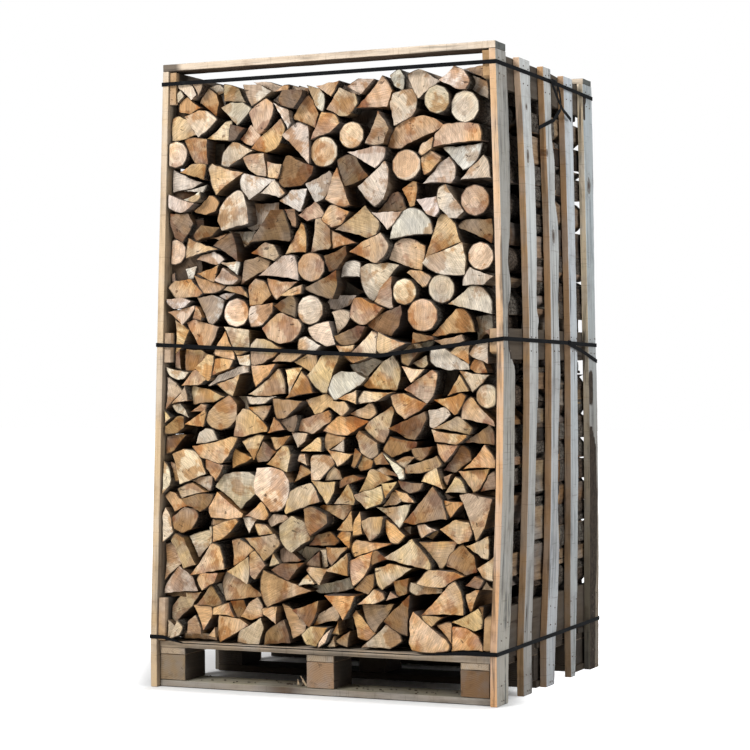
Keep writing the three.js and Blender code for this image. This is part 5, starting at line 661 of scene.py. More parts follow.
g -21.5 200.8 -18.5 200.8 -13 198.9 -16.5 197.5
o -9 190 -5 195.2 -2.5 195.4 -1 193.3 0.4 189.5 -0.8 185 -4.5 186.6 -8.7 188.3
w -3 198.6 1.2 197.4 2.8 195.2 2.9 192.5 2.2 190.4 -0.2 192.3 -1 195 | t 0.9 198 7.8 199 5.3 195
t 4 190.6 8.5 196.8 14 194.5 15 190.6 11 188.2 8.5 188.3
g 7.9 199 9.5 198.6 15.6 194.9 14.5 193.8 9.5 196.2 | p 11.9 197.3 15.6 199.4 19.8 199 15.9 195
o 13.8 190.8 22.6 200.6 23.6 200 26.9 195 25.4 190.5 | k 11.3 189 16 190.2 23 190.2 20.5 184.5 18 183.6
o -1.6 180.6 0.8 186.3 2.2 189.3 6.8 188.2 7.8 186 3.2 182
p -12.2 183 -6.5 186.8 -3.2 185.4 -2.2 179 -2.3 173 | R 2.7 176.8 5.2 | R 12.6 181.5 4.5
p 12 175.8 17 176.5 24.4 178 23.7 173.5 20.7 170.7
t 17.6 178.8 22.2 188 24 185.5 25.8 182 24.6 178.5 20 178
t 23.8 176.3 26.2 181.6 30 184.8 34 186.2 38.2 186.5 42 185.2 44.3 183.4 41.5 181.6 27 175.9
p 26.2 191.5 26.9 194.2 34 195.3 35.5 192.5 35.2 189 33.3 186.3 28 184
w 26.7 200.2 29.6 201.8 31.2 199.5 30.8 195.6 28 197 | g 31.2 199.8 34.3 196 33.8 195.4 31.2 195.5
p 32.6 199.8 36.5 201.1 38.6 200.2 43.6 196.6 40.5 195.5 36.4 191.9 34.8 195.8 | R 42.5 191.2 4.6
R 52 188.6 5.2 | p 43.8 197.3 48.5 201.2 51.3 200 53.4 196.3 52 194.2 50 194.3
g 51.6 199.8 60.3 196 60.4 191.2 53.5 195.6 | p 52.5 200.5 58.3 201.2 58.6 197.5
o 41 179.3 44.8 183 50 182.6 56.3 182.6 57.3 180 57 177.4 50 177.4 40.5 176
o 36.3 174.6 37.5 177.3 39.5 178 41 179 41 176.2 37.2 173.7
w 44.6 175.8 46.8 176.8 57.3 176.8 56.6 173.3 54 170 51 168.9
o 37 173.2 40 175.1 43.6 172.8 41.6 169.5 38 168 37.2 170.5 | k 57.6 182 61 181.5 61 173 59 173.5
n -62 187.5 -45 188 -45.5 194.3 -62 194.3 | n -62 161 -44 160 -45 168.5 -62 168
n -62 136 -42.5 135.5 -43 145 -62 144.5 | n -62 30.5 -49.5 30.4 -50.5 36 -62 35
n -62 150 -41 149.5 -42 156 -62 155.5 | n -62 157 -46 156.5 -47 161 -62 160.5
"""


# The crate's lean and bow, in millimetres
SLAT_TOP = 2060.0
LEAN_START, LEAN_TOP = 150.0, 62.0
BOW_MID_Z, BOW_MID, BOW_TOP, BACK_TOP = 1100.0, 30.0, 10.0, -12.0
BOW_FADE = [(-500, 1.0), (70, 0.82), (200, 0.2), (500, 0.0), (600, 0.0)]
HALF_X = 600.0
INNER_X = 598.0
DECK_TOP = 153.0


def bow_front(z):
    """How far the foremost right slat stands outwards at a height."""
    if z < LEAN_START:
        return 0.0
    if z < BOW_MID_Z:
        return BOW_MID * math.sin((math.pi / 2) * (z - LEAN_START) / (BOW_MID_Z - LEAN_START))
    return BOW_MID - (BOW_MID - BOW_TOP) * ((z - BOW_MID_Z) / (SLAT_TOP - BOW_MID_Z)) ** 1.5


def bow_right(y, z):
    f = along(BOW_FADE, y)
    back = 0.0 if z < BOW_MID_Z else BACK_TOP * (z - BOW_MID_Z) / (SLAT_TOP - BOW_MID_Z)
    return f * bow_front(z) + (1 - f) * back


def lean_left(z):
    return 0.0 if z < LEAN_START else LEAN_TOP * (z - LEAN_START) / (SLAT_TOP - LEAN_START)


def settle(x, y, z):
    """A point of the upright crate, in millimetres, moved to the leaning one, in metres."""
    u = (x + HALF_X) / (2 * HALF_X)
    return (
        (x + u * bow_right(y, z) + (1 - u) * lean_left(z) + SHIFT_X) * MM,
        (y + SHIFT_Y) * MM,
        z * MM,
    )


def unsettle(x, y, z):
    """The x that a point of the leaning crate has in the upright one."""
    bow, lean = bow_right(y, z), lean_left(z)
    return (x - (bow + lean) / 2) / (1 + (bow - lean) / (2 * HALF_X))


# Outlines of the log ends
SIGHT_X, SIGHT_Y, READ_Y = 3000.0, 6260.0, -480.0
END_Y, BACK_END = -497.0, 500.0
ROUND_SIDES = 10
GROWTH = 4.0
GAP = 0.4
LEAST_SETBACK, MORE_SETBACK = 4, 40
SETBACKS = {"k": (80, 40), "g": (45, 35), "n": (46, 6)}
RAIL_SPANS = [(156, 298), (1088, 1186), (1950, 2056)]
WOOD_CLEAR, HEADROOM = 5, 8
RAIL_GAP, RAIL_THICK = 1.2, 24
SIDE_X = INNER_X - WOOD_CLEAR
RAIL_X = INNER_X - RAIL_GAP - RAIL_THICK - WOOD_CLEAR
LEAST_AREA = 120


def ring_area(ring):
    return sum(a[0] * b[1] - b[0] * a[1] for a, b in zip(ring, ring[1:] + ring[:1])) / 2


def hull(points):
    """The outer corners of some points, counterclockwise."""
    p = sorted(points)

    def half(rows):
        out = []
        for q in rows:
            while len(out) > 1 and (
                (out[-1][0] - out[-2][0]) * (q[1] - out[-2][1])
                - (out[-1][1] - out[-2][1]) * (q[0] - out[-2][0])
            ) <= 0:
                out.pop()
            out.append(q)
        return out[:-1]

    return half(p) + half(p[::-1])


def clip(ring, nx, nz, limit):
    """The part of an outline that lies short of a straight line."""
    out = []
    for a, b in zip(ring, ring[1:] + ring[:1]):
        da = nx * a[0] + nz * a[1] - limit
        db = nx * b[0] + nz * b[1] - limit
        if da <= 0:
            out.append(a)
        if da * db < 0:
            t = da / (da - db)
            out.append((a[0] + t * (b[0] - a[0]), a[1] + t * (b[1] - a[1])))
    return out


def normals(ring):
    out = []
    for (x, z), (u, w) in zip(ring, ring[1:] + ring[:1]):
        size = math.hypot(u - x, w - z) or 1.0
        out.append(((w - z) / size, (x - u) / size))
    return out


def overlap(a, b):
    """The direction in which two outlines overlap least, with where a ends and b begins along it."""
    best = None
    for n in normals(a) + [(-x, -z) for x, z in normals(b)]:
        far = max(x * n[0] + z * n[1] for x, z in a)
        near = min(x * n[0] + z * n[1] for x, z in b)
        if far <= near:
            return None
        if best is None or far - near < best[0]:
            best = (far - near, n, far, near)
    return best


def grow(ring, by):
    out = [(-9e3, -9e3), (9e3, -9e3), (9e3, 9e3), (-9e3, 9e3)]
    for p, n in zip(ring, normals(ring)):
        out = clip(out, n[0], n[1], p[0] * n[0] + p[1] * n[1] + by)
    return out


class OddsAndEvens:
    """The same run of numbers as the part's source, so each log end stands as deep as its solid."""

    def __init__(self):
        self.seed = 7.0

    def next(self):
        self.seed = math.fmod(self.seed * 1103515245.0 + 12345.0, 2147483648.0)
        return self.seed / 2147483648.0


def bound(ring):
    """The part of an outline that fits between the panels, the deck and the battens."""
    low, high = min(p[1] for p in ring), max(p[1] for p in ring)
    side = RAIL_X if any(low < b and high > a for a, b in RAIL_SPANS) else SIDE_X
    ring = clip(clip(ring, 1, 0, side), -1, 0, side)
    if len(ring) > 2:
        ring = clip(clip(ring, 0, -1, -(DECK_TOP + GAP)), 0, 1, SLAT_TOP - HEADROOM)
    return ring


def round_ring(x, z, radius):
    turns = [(i + 0.5) * 2 * math.pi / ROUND_SIDES for i in range(ROUND_SIDES)]
    return [(x + radius * math.cos(a), z + radius * math.sin(a)) for a in turns]


def share_room(rows, rounds_first):
    """Stops logs where they meet their neighbours, half way or with whole round sticks going first."""
    for i, a in enumerate(rows):
        for b in rows[i + 1:]:
            if min(len(a["ring"]), len(b["ring"])) < 3:
                continue
            found = overlap(a["ring"], b["ring"])
            if not found:
                continue
            _, n, far, near = found
            middle = (far + near) / 2
            if rounds_first and (a["tone"] == "R") != (b["tone"] == "R"):
                middle = far if a["tone"] == "R" else near
            a["ring"] = clip(a["ring"], n[0], n[1], middle)
            b["ring"] = clip(b["ring"], -n[0], -n[1], -middle)


def large_enough(rows):
    return [log for log in rows if len(log["ring"]) > 2 and ring_area(log["ring"]) > LEAST_AREA]


def read_logs():
    steps, deep = OddsAndEvens(), random.Random(4)
    logs = []
    for row in LOG_ENDS.replace("\n", "|").strip("| ").split("|"):
        tone, *text = row.split()
        n = [10 * float(v) for v in text]
        if tone in SETBACKS:
            least, more = SETBACKS[tone]
            front = END_Y + least + more * deep.random()
        else:
            r = steps.next()
            front = END_Y + LEAST_SETBACK + MORE_SETBACK * r * r

        def place(x, z):
            return unsettle(x - (SIGHT_X - x) / SIGHT_Y * (front - READ_Y), READ_Y, z), z

        if tone == "R":
            x, z = place(n[0], n[1])
            ring = round_ring(x, z, n[2])
        else:
            ring = grow(hull([place(n[i], n[i + 1]) for i in range(0, len(n), 2)]), GROWTH)
        logs.append({"tone": tone, "front": front, "ring": bound(ring), "circle": None})
        if tone == "R":
            logs[-1]["circle"] = (x, z, n[2])
    share_room([log for log in logs if log["tone"] not in SETBACKS], rounds_first=True)
    return large_enough(logs)


# One log as a mesh. A tone is its colour in sRGB; a heart is how dark its middle may be, from the
# least to the most. How finely it is built is the spacing of its outline in millimetres and the
# number of steps along it.
FINE, PLAIN, ROUGH = (8.0, 5), (14.0, 3), (24.0, 2)
# The k and n tones are painted shade: the dark ends deep between the logs and beside the left panel.
TONES = {
    "p": (209, 188, 164), "w": (218, 206, 190), "t": (190, 158, 120), "y": (212, 183, 140),
    "o": (201, 161, 114), "b": (148, 116, 81), "m": (192, 169, 132), "g": (196, 178, 155),
    "k": (72, 62, 52), "n": (92, 74, 56), "R": (224, 202, 173),
}
HEARTS = {
    "p": (0.0, 0.6), "w": (0.0, 0.3), "t": (0.2, 0.8), "y": (0.1, 0.7), "o": (0.35, 0.95),
    "b": (0.75, 1.0), "m": (0.1, 0.5), "g": (0.0, 0.2), "k": (0.0, 0.1), "n": (0.0, 0.1),
    "R": (0.1, 0.7),
}


# How an outline is made natural: its least side and what counts as straight or blunt; how squarely
# a side faces away from the tip to be bark; how its corners are cut and its sides bulge.
LEAST_SIDE, STRAIGHT, BLUNT = 3.0, math.radians(174), math.radians(75)
BARK_SIDE = 0.55
CUT_SHARE, CUT_LEAST, CUT_MORE = 0.22, 1.2, 5.0
BARK_BULGE, SPLIT_BULGE = 0.05, (-0.035, 0.01)
LOG_TILT = 0.07
DOME = 1.2
LOW_Z, LOW_FADE = 800, 500


def corner_turn(ring, i):
    """The angle between the two sides at a corner."""
    a, p, b = ring[i - 1], ring[i], ring[(i + 1) % len(ring)]
    u = (a[0] - p[0], a[1] - p[1])
    w = (b[0] - p[0], b[1] - p[1])
    size = math.hypot(*u) * math.hypot(*w) or 1.0
    return math.acos(max(-1.0, min(1.0, (u[0] * w[0] + u[1] * w[1]) / size)))


def tidy_ring(ring):
    """Drops corners that stand closer together than a few millimetres or do not turn."""
    out = list(ring)
    changed = True
    while changed and len(out) > 3:
        changed = False
        for i in range(len(out)):
            a, p = out[i - 1], out[i]
            short = math.hypot(p[0] - a[0], p[1] - a[1]) < LEAST_SIDE
            if short or corner_turn(out, i) > STRAIGHT:
                out.pop(i)
                changed = True
                break
    return out


def shape_round(log, rng, spacing):
    """The same as shape_outline for a whole round stick, pressed flat where it meets others."""
    x, z, r = log["circle"]
    count = max(20, int(2 * math.pi * r / spacing))
    phase, squash = rng.random() * 6.28, 1 + rng.uniform(-0.04, 0.04)
    points = []
    for i in range(count):
        a = 2 * math.pi * i / count
        wob = 1 + 0.02 * math.sin(2 * a + phase) + 0.014 * math.sin(3 * a + 2 * phase)
        wob += 0.006 * rng.uniform(-1, 1)
        points.append((x + r * wob * squash * math.cos(a), z + r * wob / squash * math.sin(a), 1.0))
    inside = grow(bound(log["ring"]), 0.5)
    for n, p in zip(normals(inside), inside):
        limit = p[0] * n[0] + p[1] * n[1]
        over = [max(0, q[0] * n[0] + q[1] * n[1] - limit) for q in points]
        points = [(q[0] - n[0] * far, q[1] - n[1] * far, q[2]) for q, far in zip(points, over)]
    return points, (x + rng.uniform(-0.15, 0.15) * r, z + rng.uniform(-0.15, 0.15) * r)


def shape_outline(log, rng, spacing):
    """Points of a natural outline in the log's own section, each with 1 for bark and 0 for split
    wood, and the place of the pith."""
    if log["circle"]:
        return shape_round(log, rng, spacing)
    ring = tidy_ring(log["ring"])
    count = len(ring)
    turns = [corner_turn(ring, i) for i in range(count)]
    tip = min(range(count), key=lambda i: turns[i])
    cx = sum(p[0] for p in ring) / count
    cz = sum(p[1] for p in ring) / count
    tx, tz = ring[tip]
    bark = []
    for i in range(count):
        a, b = ring[i], ring[(i + 1) % count]
        mx, mz = (a[0] + b[0]) / 2 - cx, (a[1] + b[1]) / 2 - cz
        sizes = math.hypot(mx, mz) * math.hypot(tx - cx, tz - cz) + 1e-6
        away = -(mx * (tx - cx) + mz * (tz - cz)) / sizes
        bark.append(1.0 if away > BARK_SIDE and tip not in (i, (i + 1) % count) else 0.0)
    points = []
    for i in range(count):
        a, b = ring[i], ring[(i + 1) % count]
        length = math.hypot(b[0] - a[0], b[1] - a[1])
        n = ((b[1] - a[1]) / (length or 1), (a[0] - b[0]) / (length or 1))
        ends = (turns[i], turns[(i + 1) % count])
        cuts = [CUT_LEAST + CUT_MORE * (turn / math.pi) ** 2 for turn in ends]
        cut_a, cut_b = [min(CUT_SHARE * length, cut) for cut in cuts]
        inner = length - cut_a - cut_b
        steps = max(1, int(round(inner / spacing)))
        bulge = (BARK_BULGE if bark[i] else rng.uniform(*SPLIT_BULGE)) * length
        phase = rng.random() * 50
        for k in range(steps + 1):
            s = cut_a + inner * k / steps
            u = s / length
            arc = 4 * u * (1 - u)
            wob = noise.noise(Vector((s * 0.05, phase, 0.0))) * min(3.0, 0.05 * length)
            wob += noise.noise(Vector((s * 0.22, phase, 3.0))) * 0.7
            off = bulge * arc + (wob - 0.8) * min(1.0, arc * 2)
            x, z = a[0] + (b[0] - a[0]) * u, a[1] + (b[1] - a[1]) * u
            points.append((x + n[0] * off, z + n[1] * off, bark[i]))
    reach = rng.uniform(-0.1, 0.35)
    pith = (tx + (tx - cx) * reach, tz + (tz - cz) * reach)
    if turns[tip] > BLUNT:
        pith = (cx + (tx - cx) * rng.uniform(0.8, 2.0), cz + (tz - cz) * rng.uniform(0.8, 2.0))
    return points, pith


def add_log(out, log, y0, y1, rng, detail):
    """Adds one log from y0 to y1. A rough one has no ends, and only a fine one has uneven ends."""
    spacing, segments = detail
    outline, pith = shape_outline(log, rng, spacing)
    n = len(outline)
    cx = sum(p[0] for p in outline) / n
    cz = sum(p[1] for p in outline) / n
    seed = rng.random()
    tone = tuple(log["color"])
    size = math.sqrt(abs(ring_area([(p[0], p[1]) for p in outline])))
    heart = (rng.uniform(*HEARTS[log["tone"]]), size * rng.uniform(0.3, 0.75) * MM, 0.0)
    tilt = (rng.uniform(-LOG_TILT, LOG_TILT), rng.uniform(-LOG_TILT, LOG_TILT))
    far_tilt = (rng.uniform(-LOG_TILT, LOG_TILT), rng.uniform(-LOG_TILT, LOG_TILT))
    sway = (rng.uniform(-3, 3), rng.uniform(-2, 2))
    thin = rng.uniform(0.94, 1.0)

    def ring_at(t, y, scale, slope, bump, rim):
        s = 1 - (1 - thin) * t
        points, grain = [], []
        for x, z, bark in outline:
            rx, rz = (x - cx) * scale, (z - cz) * scale
            size = math.hypot(rx, rz) or 1.0
            wave = 0.0
            if bump:
                wave = noise.noise(Vector((x * 0.03, y * 0.012, z * 0.03 + seed * 40)))
                wave = wave * (2.2 if bark else 1.6) - 0.9
            px = cx + rx * s + sway[0] * t + rx / size * wave
            pz = cz + rz * s + sway[1] * t + rz / size * wave
            py = y + slope[0] * rx + slope[1] * rz
            points.append(settle(px, py, pz))
            grain.append(((px - pith[0]) * MM, (pz - pith[1]) * MM, seed))
        edge = [rim * p[2] for p in outline]
        return out.add(points, grain=grain, tone=tone, seed=seed, heart=heart, rim=edge)

    def joined(a, b, slot=None, flip=False):
        for i in range(n):
            j = (i + 1) % n
            kind = slot if slot is not None else (2 if outline[i][2] and outline[j][2] else 1)
            corners = (a + i, b + i, b + j, a + j)
            out.face(corners[::-1] if flip else corners, kind)

    rows = []
    for k in range(segments + 1):
        t = k / segments
        slope = tilt if k == 0 else far_tilt if k == segments else (0, 0)
        rows.append(ring_at(t, y0 + (y1 - y0) * t, 1.0, slope, 0 < k < segments, 0.0))
    for a, b in zip(rows, rows[1:]):
        joined(a, b)
    if detail == ROUGH:
        return
    for t, y, slope, side in ((0.0, y0, tilt, -1), (1.0, y1, far_tilt, 1)):
        near, far = 1 - min(0.12, 3 / size), 1 - min(0.3, 7 / size)
        steps = [(1.0, 0.0, 1.0), (near, side * 1.0, 1.0), (far, side * DOME, 0.0)]
        if detail == FINE:
            steps.append((0.5, side * DOME + rng.uniform(-0.6, 0.6), 0.0))
        last = None
        for scale, lift, rim in steps:
            here = ring_at(t, y + lift, scale, slope, False, rim)
            if last is not None:
                joined(last, here, 0, flip=side < 0)
            last = here
        px, pz = cx + sway[0] * t, cz + sway[1] * t
        centre = ((px - pith[0]) * MM, (pz - pith[1]) * MM, seed)
        spot = [settle(px, y + side * DOME, pz)]
        middle = out.add(spot, grain=[centre], tone=tone, seed=seed, heart=heart, rim=0.0)
        for i in range(n):
            j = (i + 1) % n
            out.face((last + i, middle, last + j) if side < 0 else (last + i, last + j, middle), 0)


def log_color(log, rng):
    """The tone of one log, varied by chance and a little warmer low in the stack."""
    base = list(srgb(*TONES[log["tone"]]))
    z = sum(p[1] for p in log["ring"]) / len(log["ring"])
    low = 1 - smooth((z - LOW_Z) / LOW_FADE)
    warm = [1 + 0.03 * low, 1 - 0.01 * low, 1 - 0.14 * low]
    least, most = (0.74, 1.22) if log["tone"] in "tb" else (0.82, 1.15)
    bright = rng.uniform(least, most) * (0.8 if log["tone"] == "b" and low < 0.5 else 1.0)
    return [min(0.95, c * w * bright * (1 + rng.uniform(-0.035, 0.035))) for c, w in zip(base, warm)]


# Boards, slats and blocks, in millimetres. A slat's steps go up its height, across its face and
# through its edge.
GRAIN_SCALE = 75.0
BOARD_STEP, FACE_STEP = 24.0, 16
SLAT_STEPS = (170, 7, 3)
SLAT_EDGE = 1.5


def board_material(name, squeeze, grey, dark, knots=(), tint=None):
    """Sawn board. tint is its own colour, wane the bark left on it, stain how streaked it is."""
    material, t = new_material(name)
    tint = tint(t) if tint else t.attribute("tint", "Vector")
    wane = t.attribute("wane")
    stain = t.attribute("stain")
    seed = t.attribute("seed")
    fixed = object_vector(t)
    place = object_vector(t, seed)
    fibre = use(t, FIBRE, {"Vector": place, "Squeeze": squeeze, "Scale": GRAIN_SCALE, "Wave": 0.02})
    fine = t.ramp(fibre["Streaks"], 0.38, 0.68, 0.0, 0.5)
    base = t.tinted(fine, tint, (0.64, 0.58, 0.53))
    wide = t.ramp(fibre["Broad"], 0.42, 0.64, 0.0, 0.4)
    base = t.mix(wide, base, t.mix(1.0, tint, (0.78, 0.75, 0.73), "MULTIPLY"))
    stretched = t.vmath("MULTIPLY", place, squeeze)
    bands = t.ramp(t.noise(stretched, GRAIN_SCALE * 0.7, 4.0, 0.65), 0.5, 0.62)
    blot = t.ramp(t.noise(place, 6.0, 3.0, 0.6), 0.32, 0.55)
    streaked = t.times(t.times(bands, blot), stain)
    base = t.tinted(streaked, base, (0.36, 0.38, 0.40))
    saw = t.vmath("MULTIPLY", place, tuple(1.05 - v for v in squeeze))
    lines = t.ramp(t.noise(saw, 190.0, 2.0, 0.5), 0.63, 0.71, 0.0, 0.35)
    base = t.tinted(lines, base, (0.45, 0.38, 0.32))
    for middle, size in knots:
        spot = use(t, KNOT, {"Vector": fixed, "Place": middle, "Size": size})
        ringed = t.times(spot["Rings"], 0.8)
        base = t.tinted(ringed, base, (0.42, 0.32, 0.25))
        base = t.mix(t.times(spot["Heart"], 0.9), base, srgb(76, 58, 44))
    looks = {"Color": base, "Vector": place, "Scale": 5.0, "Grey": grey, "Dark": dark, "Specks": 0.3}
    worn = use(t, WEATHER, looks)
    crack = t.ramp(t.noise(stretched, GRAIN_SCALE * 0.55, 2.0, 0.4), 0.69, 0.72)
    color = t.mix(t.times(crack, 0.8), worn["Color"], srgb(50, 40, 33))
    rough = t.noise(place, 55.0, 5.0, 0.7)
    bark = t.mix(t.ramp(rough, 0.35, 0.68), srgb(64, 53, 44), srgb(34, 27, 22))
    ragged = t.times(t.math("SUBTRACT", t.noise(place, 22.0, 4.0), 0.5), 0.7)
    patch = t.ramp(t.math("ADD", wane, ragged), 0.42, 0.58)
    color = t.mix(patch, color, bark)
    swell = t.times(t.times(rough, patch), 2.5)
    height = t.math("ADD", fibre["Height"], swell)
    height = t.math("SUBTRACT", height, t.times(crack, 1.2))
    surface(t, color, 0.88, height, 0.65, 0.0014, 0.2)
    return material


def block_material():
    """Cut end of a pallet block: coarse diagonal rings in warm, worn brown."""
    material, t = new_material("block cut end")
    grain = t.attribute("grain", "Vector")
    tint = t.attribute("tint", "Vector")
    seed = t.attribute("seed")
    rings = use(t, RINGS, {"Grain": grain, "Spacing": 0.0065, "Checks": 0.8})
    late = t.times(rings["Rings"], 0.7)
    base = t.tinted(late, tint, (0.5, 0.4, 0.32))
    place = object_vector(t, seed)
    looks = {"Color": base, "Vector": place, "Scale": 16.0, "Grey": 0.45, "Dark": 0.5, "Specks": 0.5}
    worn = use(t, WEATHER, looks)
    color = t.mix(rings["Checks"], worn["Color"], srgb(40, 32, 26))
    height = t.math("ADD", rings["Height"], t.times(worn["Height"], 0.5))
    surface(t, color, 0.9, height, 0.6, 0.0015, 0.2)
    return material


def corner_box(node):
    """The low and high corners of a packed board, in millimetres."""
    low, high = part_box(node)
    return [v / MM for v in low], [v / MM for v in high]


def add_box(out, low, high, rng, axis, tints, edge=1.6, rough=0.7, shade=None, stain=0.2):
    """A board or block with uneven, rounded edges. axis is the way of its grain; tints are the
    colours of its sides -x, +x, -y, +y, -z and +z, and shade may change them from place to place."""
    a = axis
    b, c = [i for i in range(3) if i != a]
    seed = rng.random()
    length = high[a] - low[a]
    count = max(2, int(length / BOARD_STEP))
    half_b, half_c = (high[b] - low[b]) / 2, (high[c] - low[c]) / 2
    mid_b, mid_c = (high[b] + low[b]) / 2, (high[c] + low[c]) / 2
    e = min(edge, half_b * 0.4, half_c * 0.4)
    nb, nc = max(1, int(half_b / FACE_STEP)), max(1, int(half_c / FACE_STEP))

    def spaced(half, steps):
        return [-half + e + (2 * half - 2 * e) * k / (2 * steps) for k in range(2 * steps + 1)]

    over_b, over_c = spaced(half_b, nb), spaced(half_c, nc)
    section = [(s, -half_c, 2 * c) for s in over_b] + [(half_b, t, 2 * b + 1) for t in over_c]
    section += [(-s, half_c, 2 * c + 1) for s in over_b] + [(-half_b, -t, 2 * b) for t in over_c]
    pith = (rng.uniform(-1.2, 1.2) * half_b, rng.uniform(1.2, 2.6) * half_c * rng.choice((-1, 1)))
    n = len(section)
    flip = -1 if (b, c) == (0, 2) else 1

    def point(at, s, t):
        p = [0.0, 0.0, 0.0]
        wob = noise.noise(Vector((at * 0.02, s * 0.03, t * 0.03 + seed * 90))) * rough
        fine = noise.noise(Vector((at * 0.11, s * 0.12, t * 0.12 + seed * 50)))
        wob += fine * rough * 0.5 - rough * 0.55
        size = math.hypot(s / half_b, t / half_c) or 1.0
        p[a] = at
        p[b] = mid_b + s + (wob * s / half_b / size)
        p[c] = mid_c + t + (wob * t / half_c / size)
        return p

    def lay(rows, spots, sides):
        colors = [tints[side] for side in sides]
        if shade:
            colors = [shade(p, side, color) for p, side, color in zip(rows, sides, colors)]
        grain = [((s - pith[0]) * MM, (t - pith[1]) * MM, seed) for s, t in spots]
        points = [tuple(v * MM for v in p) for p in rows]
        return out.add(points, grain=grain, tint=colors, seed=seed, wane=0.0, stain=stain)

    def ring(at):
        rows = [point(at, s, t) for s, t, _ in section]
        return lay(rows, [(s, t) for s, t, _ in section], [side for _, _, side in section])

    def join(p, q, ahead, slot=0):
        for i in range(n):
            j = (i + 1) % n
            face = (p + i, p + j, q + j, q + i)
            out.face(face if ahead else face[::-1], slot)

    rows = [ring(low[a] + e + (length - 2 * e) * k / count) for k in range(count + 1)]
    for p, q in zip(rows, rows[1:]):
        join(p, q, flip > 0)
    for p, at, sign, side in ((rows[0], low[a], -1, 2 * a), (rows[-1], high[a], 1, 2 * a + 1)):
        last = p
        ahead = (flip > 0) == (sign > 0)
        for turn, scale in enumerate((1 - e / min(half_b, half_c) * 0.6, 0.6, 0.25)):
            spots = [(s * scale, t * scale) for s, t, _ in section]
            points = []
            for s, t in spots:
                q = point(at, s, t)
                dip = noise.noise(Vector((s * 0.05, t * 0.05, seed * 30))) * rough * 0.6
                q[a] = at + dip - sign * 0.2
                points.append(q)
            here = lay(points, spots, [side] * n)
            join(last, here, ahead, 0 if turn == 0 else 1)
            last = here
        q = point(at, 0, 0)
        q[a] = at - sign * 0.2
        middle = lay([q], [(0, 0)], [side])
        for i in range(n):
            j = (i + 1) % n
            face = (last + i, last + j, middle)
            out.face(face if ahead else face[::-1], 1)


def slat_levels(node):
    """Heights of a packed slat and where its four corners are at each, in millimetres."""
    levels = {}
    for v in NODES[node].data.vertices:
        x, y, z = (value / MM for value in v.co)
        levels.setdefault(round(z, 1), set()).add((round(x, 2), round(y, 2)))
    rows = []
    for z in sorted(levels):
        by_y = sorted(levels[z], key=lambda p: p[1])
        front, back = sorted(by_y[:2]), sorted(by_y[-2:])
        rows.append((z, front[0][0], front[1][0], back[0][0], back[1][0], front[0][1], back[0][1]))
    return rows


def spline(rows, column, z):
    """A smooth curve through one column of the levels that never swings past them."""
    i = 0
    while i < len(rows) - 2 and rows[i + 1][0] < z:
        i += 1
    p = [rows[max(i - 1, 0)], rows[i], rows[i + 1], rows[min(i + 2, len(rows) - 1)]]
    t = (z - p[1][0]) / (p[2][0] - p[1][0])
    span = p[2][0] - p[1][0]

    def slope(a, b):
        return (b[column] - a[column]) / (b[0] - a[0]) if b[0] != a[0] else 0.0

    left, right = slope(p[0], p[2]), slope(p[1], p[3])
    middle = slope(p[1], p[2])
    left = 0 if left * middle <= 0 else math.copysign(min(abs(left), 2 * abs(middle)), middle)
    right = 0 if right * middle <= 0 else math.copysign(min(abs(right), 2 * abs(middle)), middle)
    u, w = p[1][column], p[2][column]
    return (
        (2 * t ** 3 - 3 * t ** 2 + 1) * u + (t ** 3 - 2 * t ** 2 + t) * span * left
        + (-2 * t ** 3 + 3 * t ** 2) * w + (t ** 3 - t ** 2) * span * right
    )


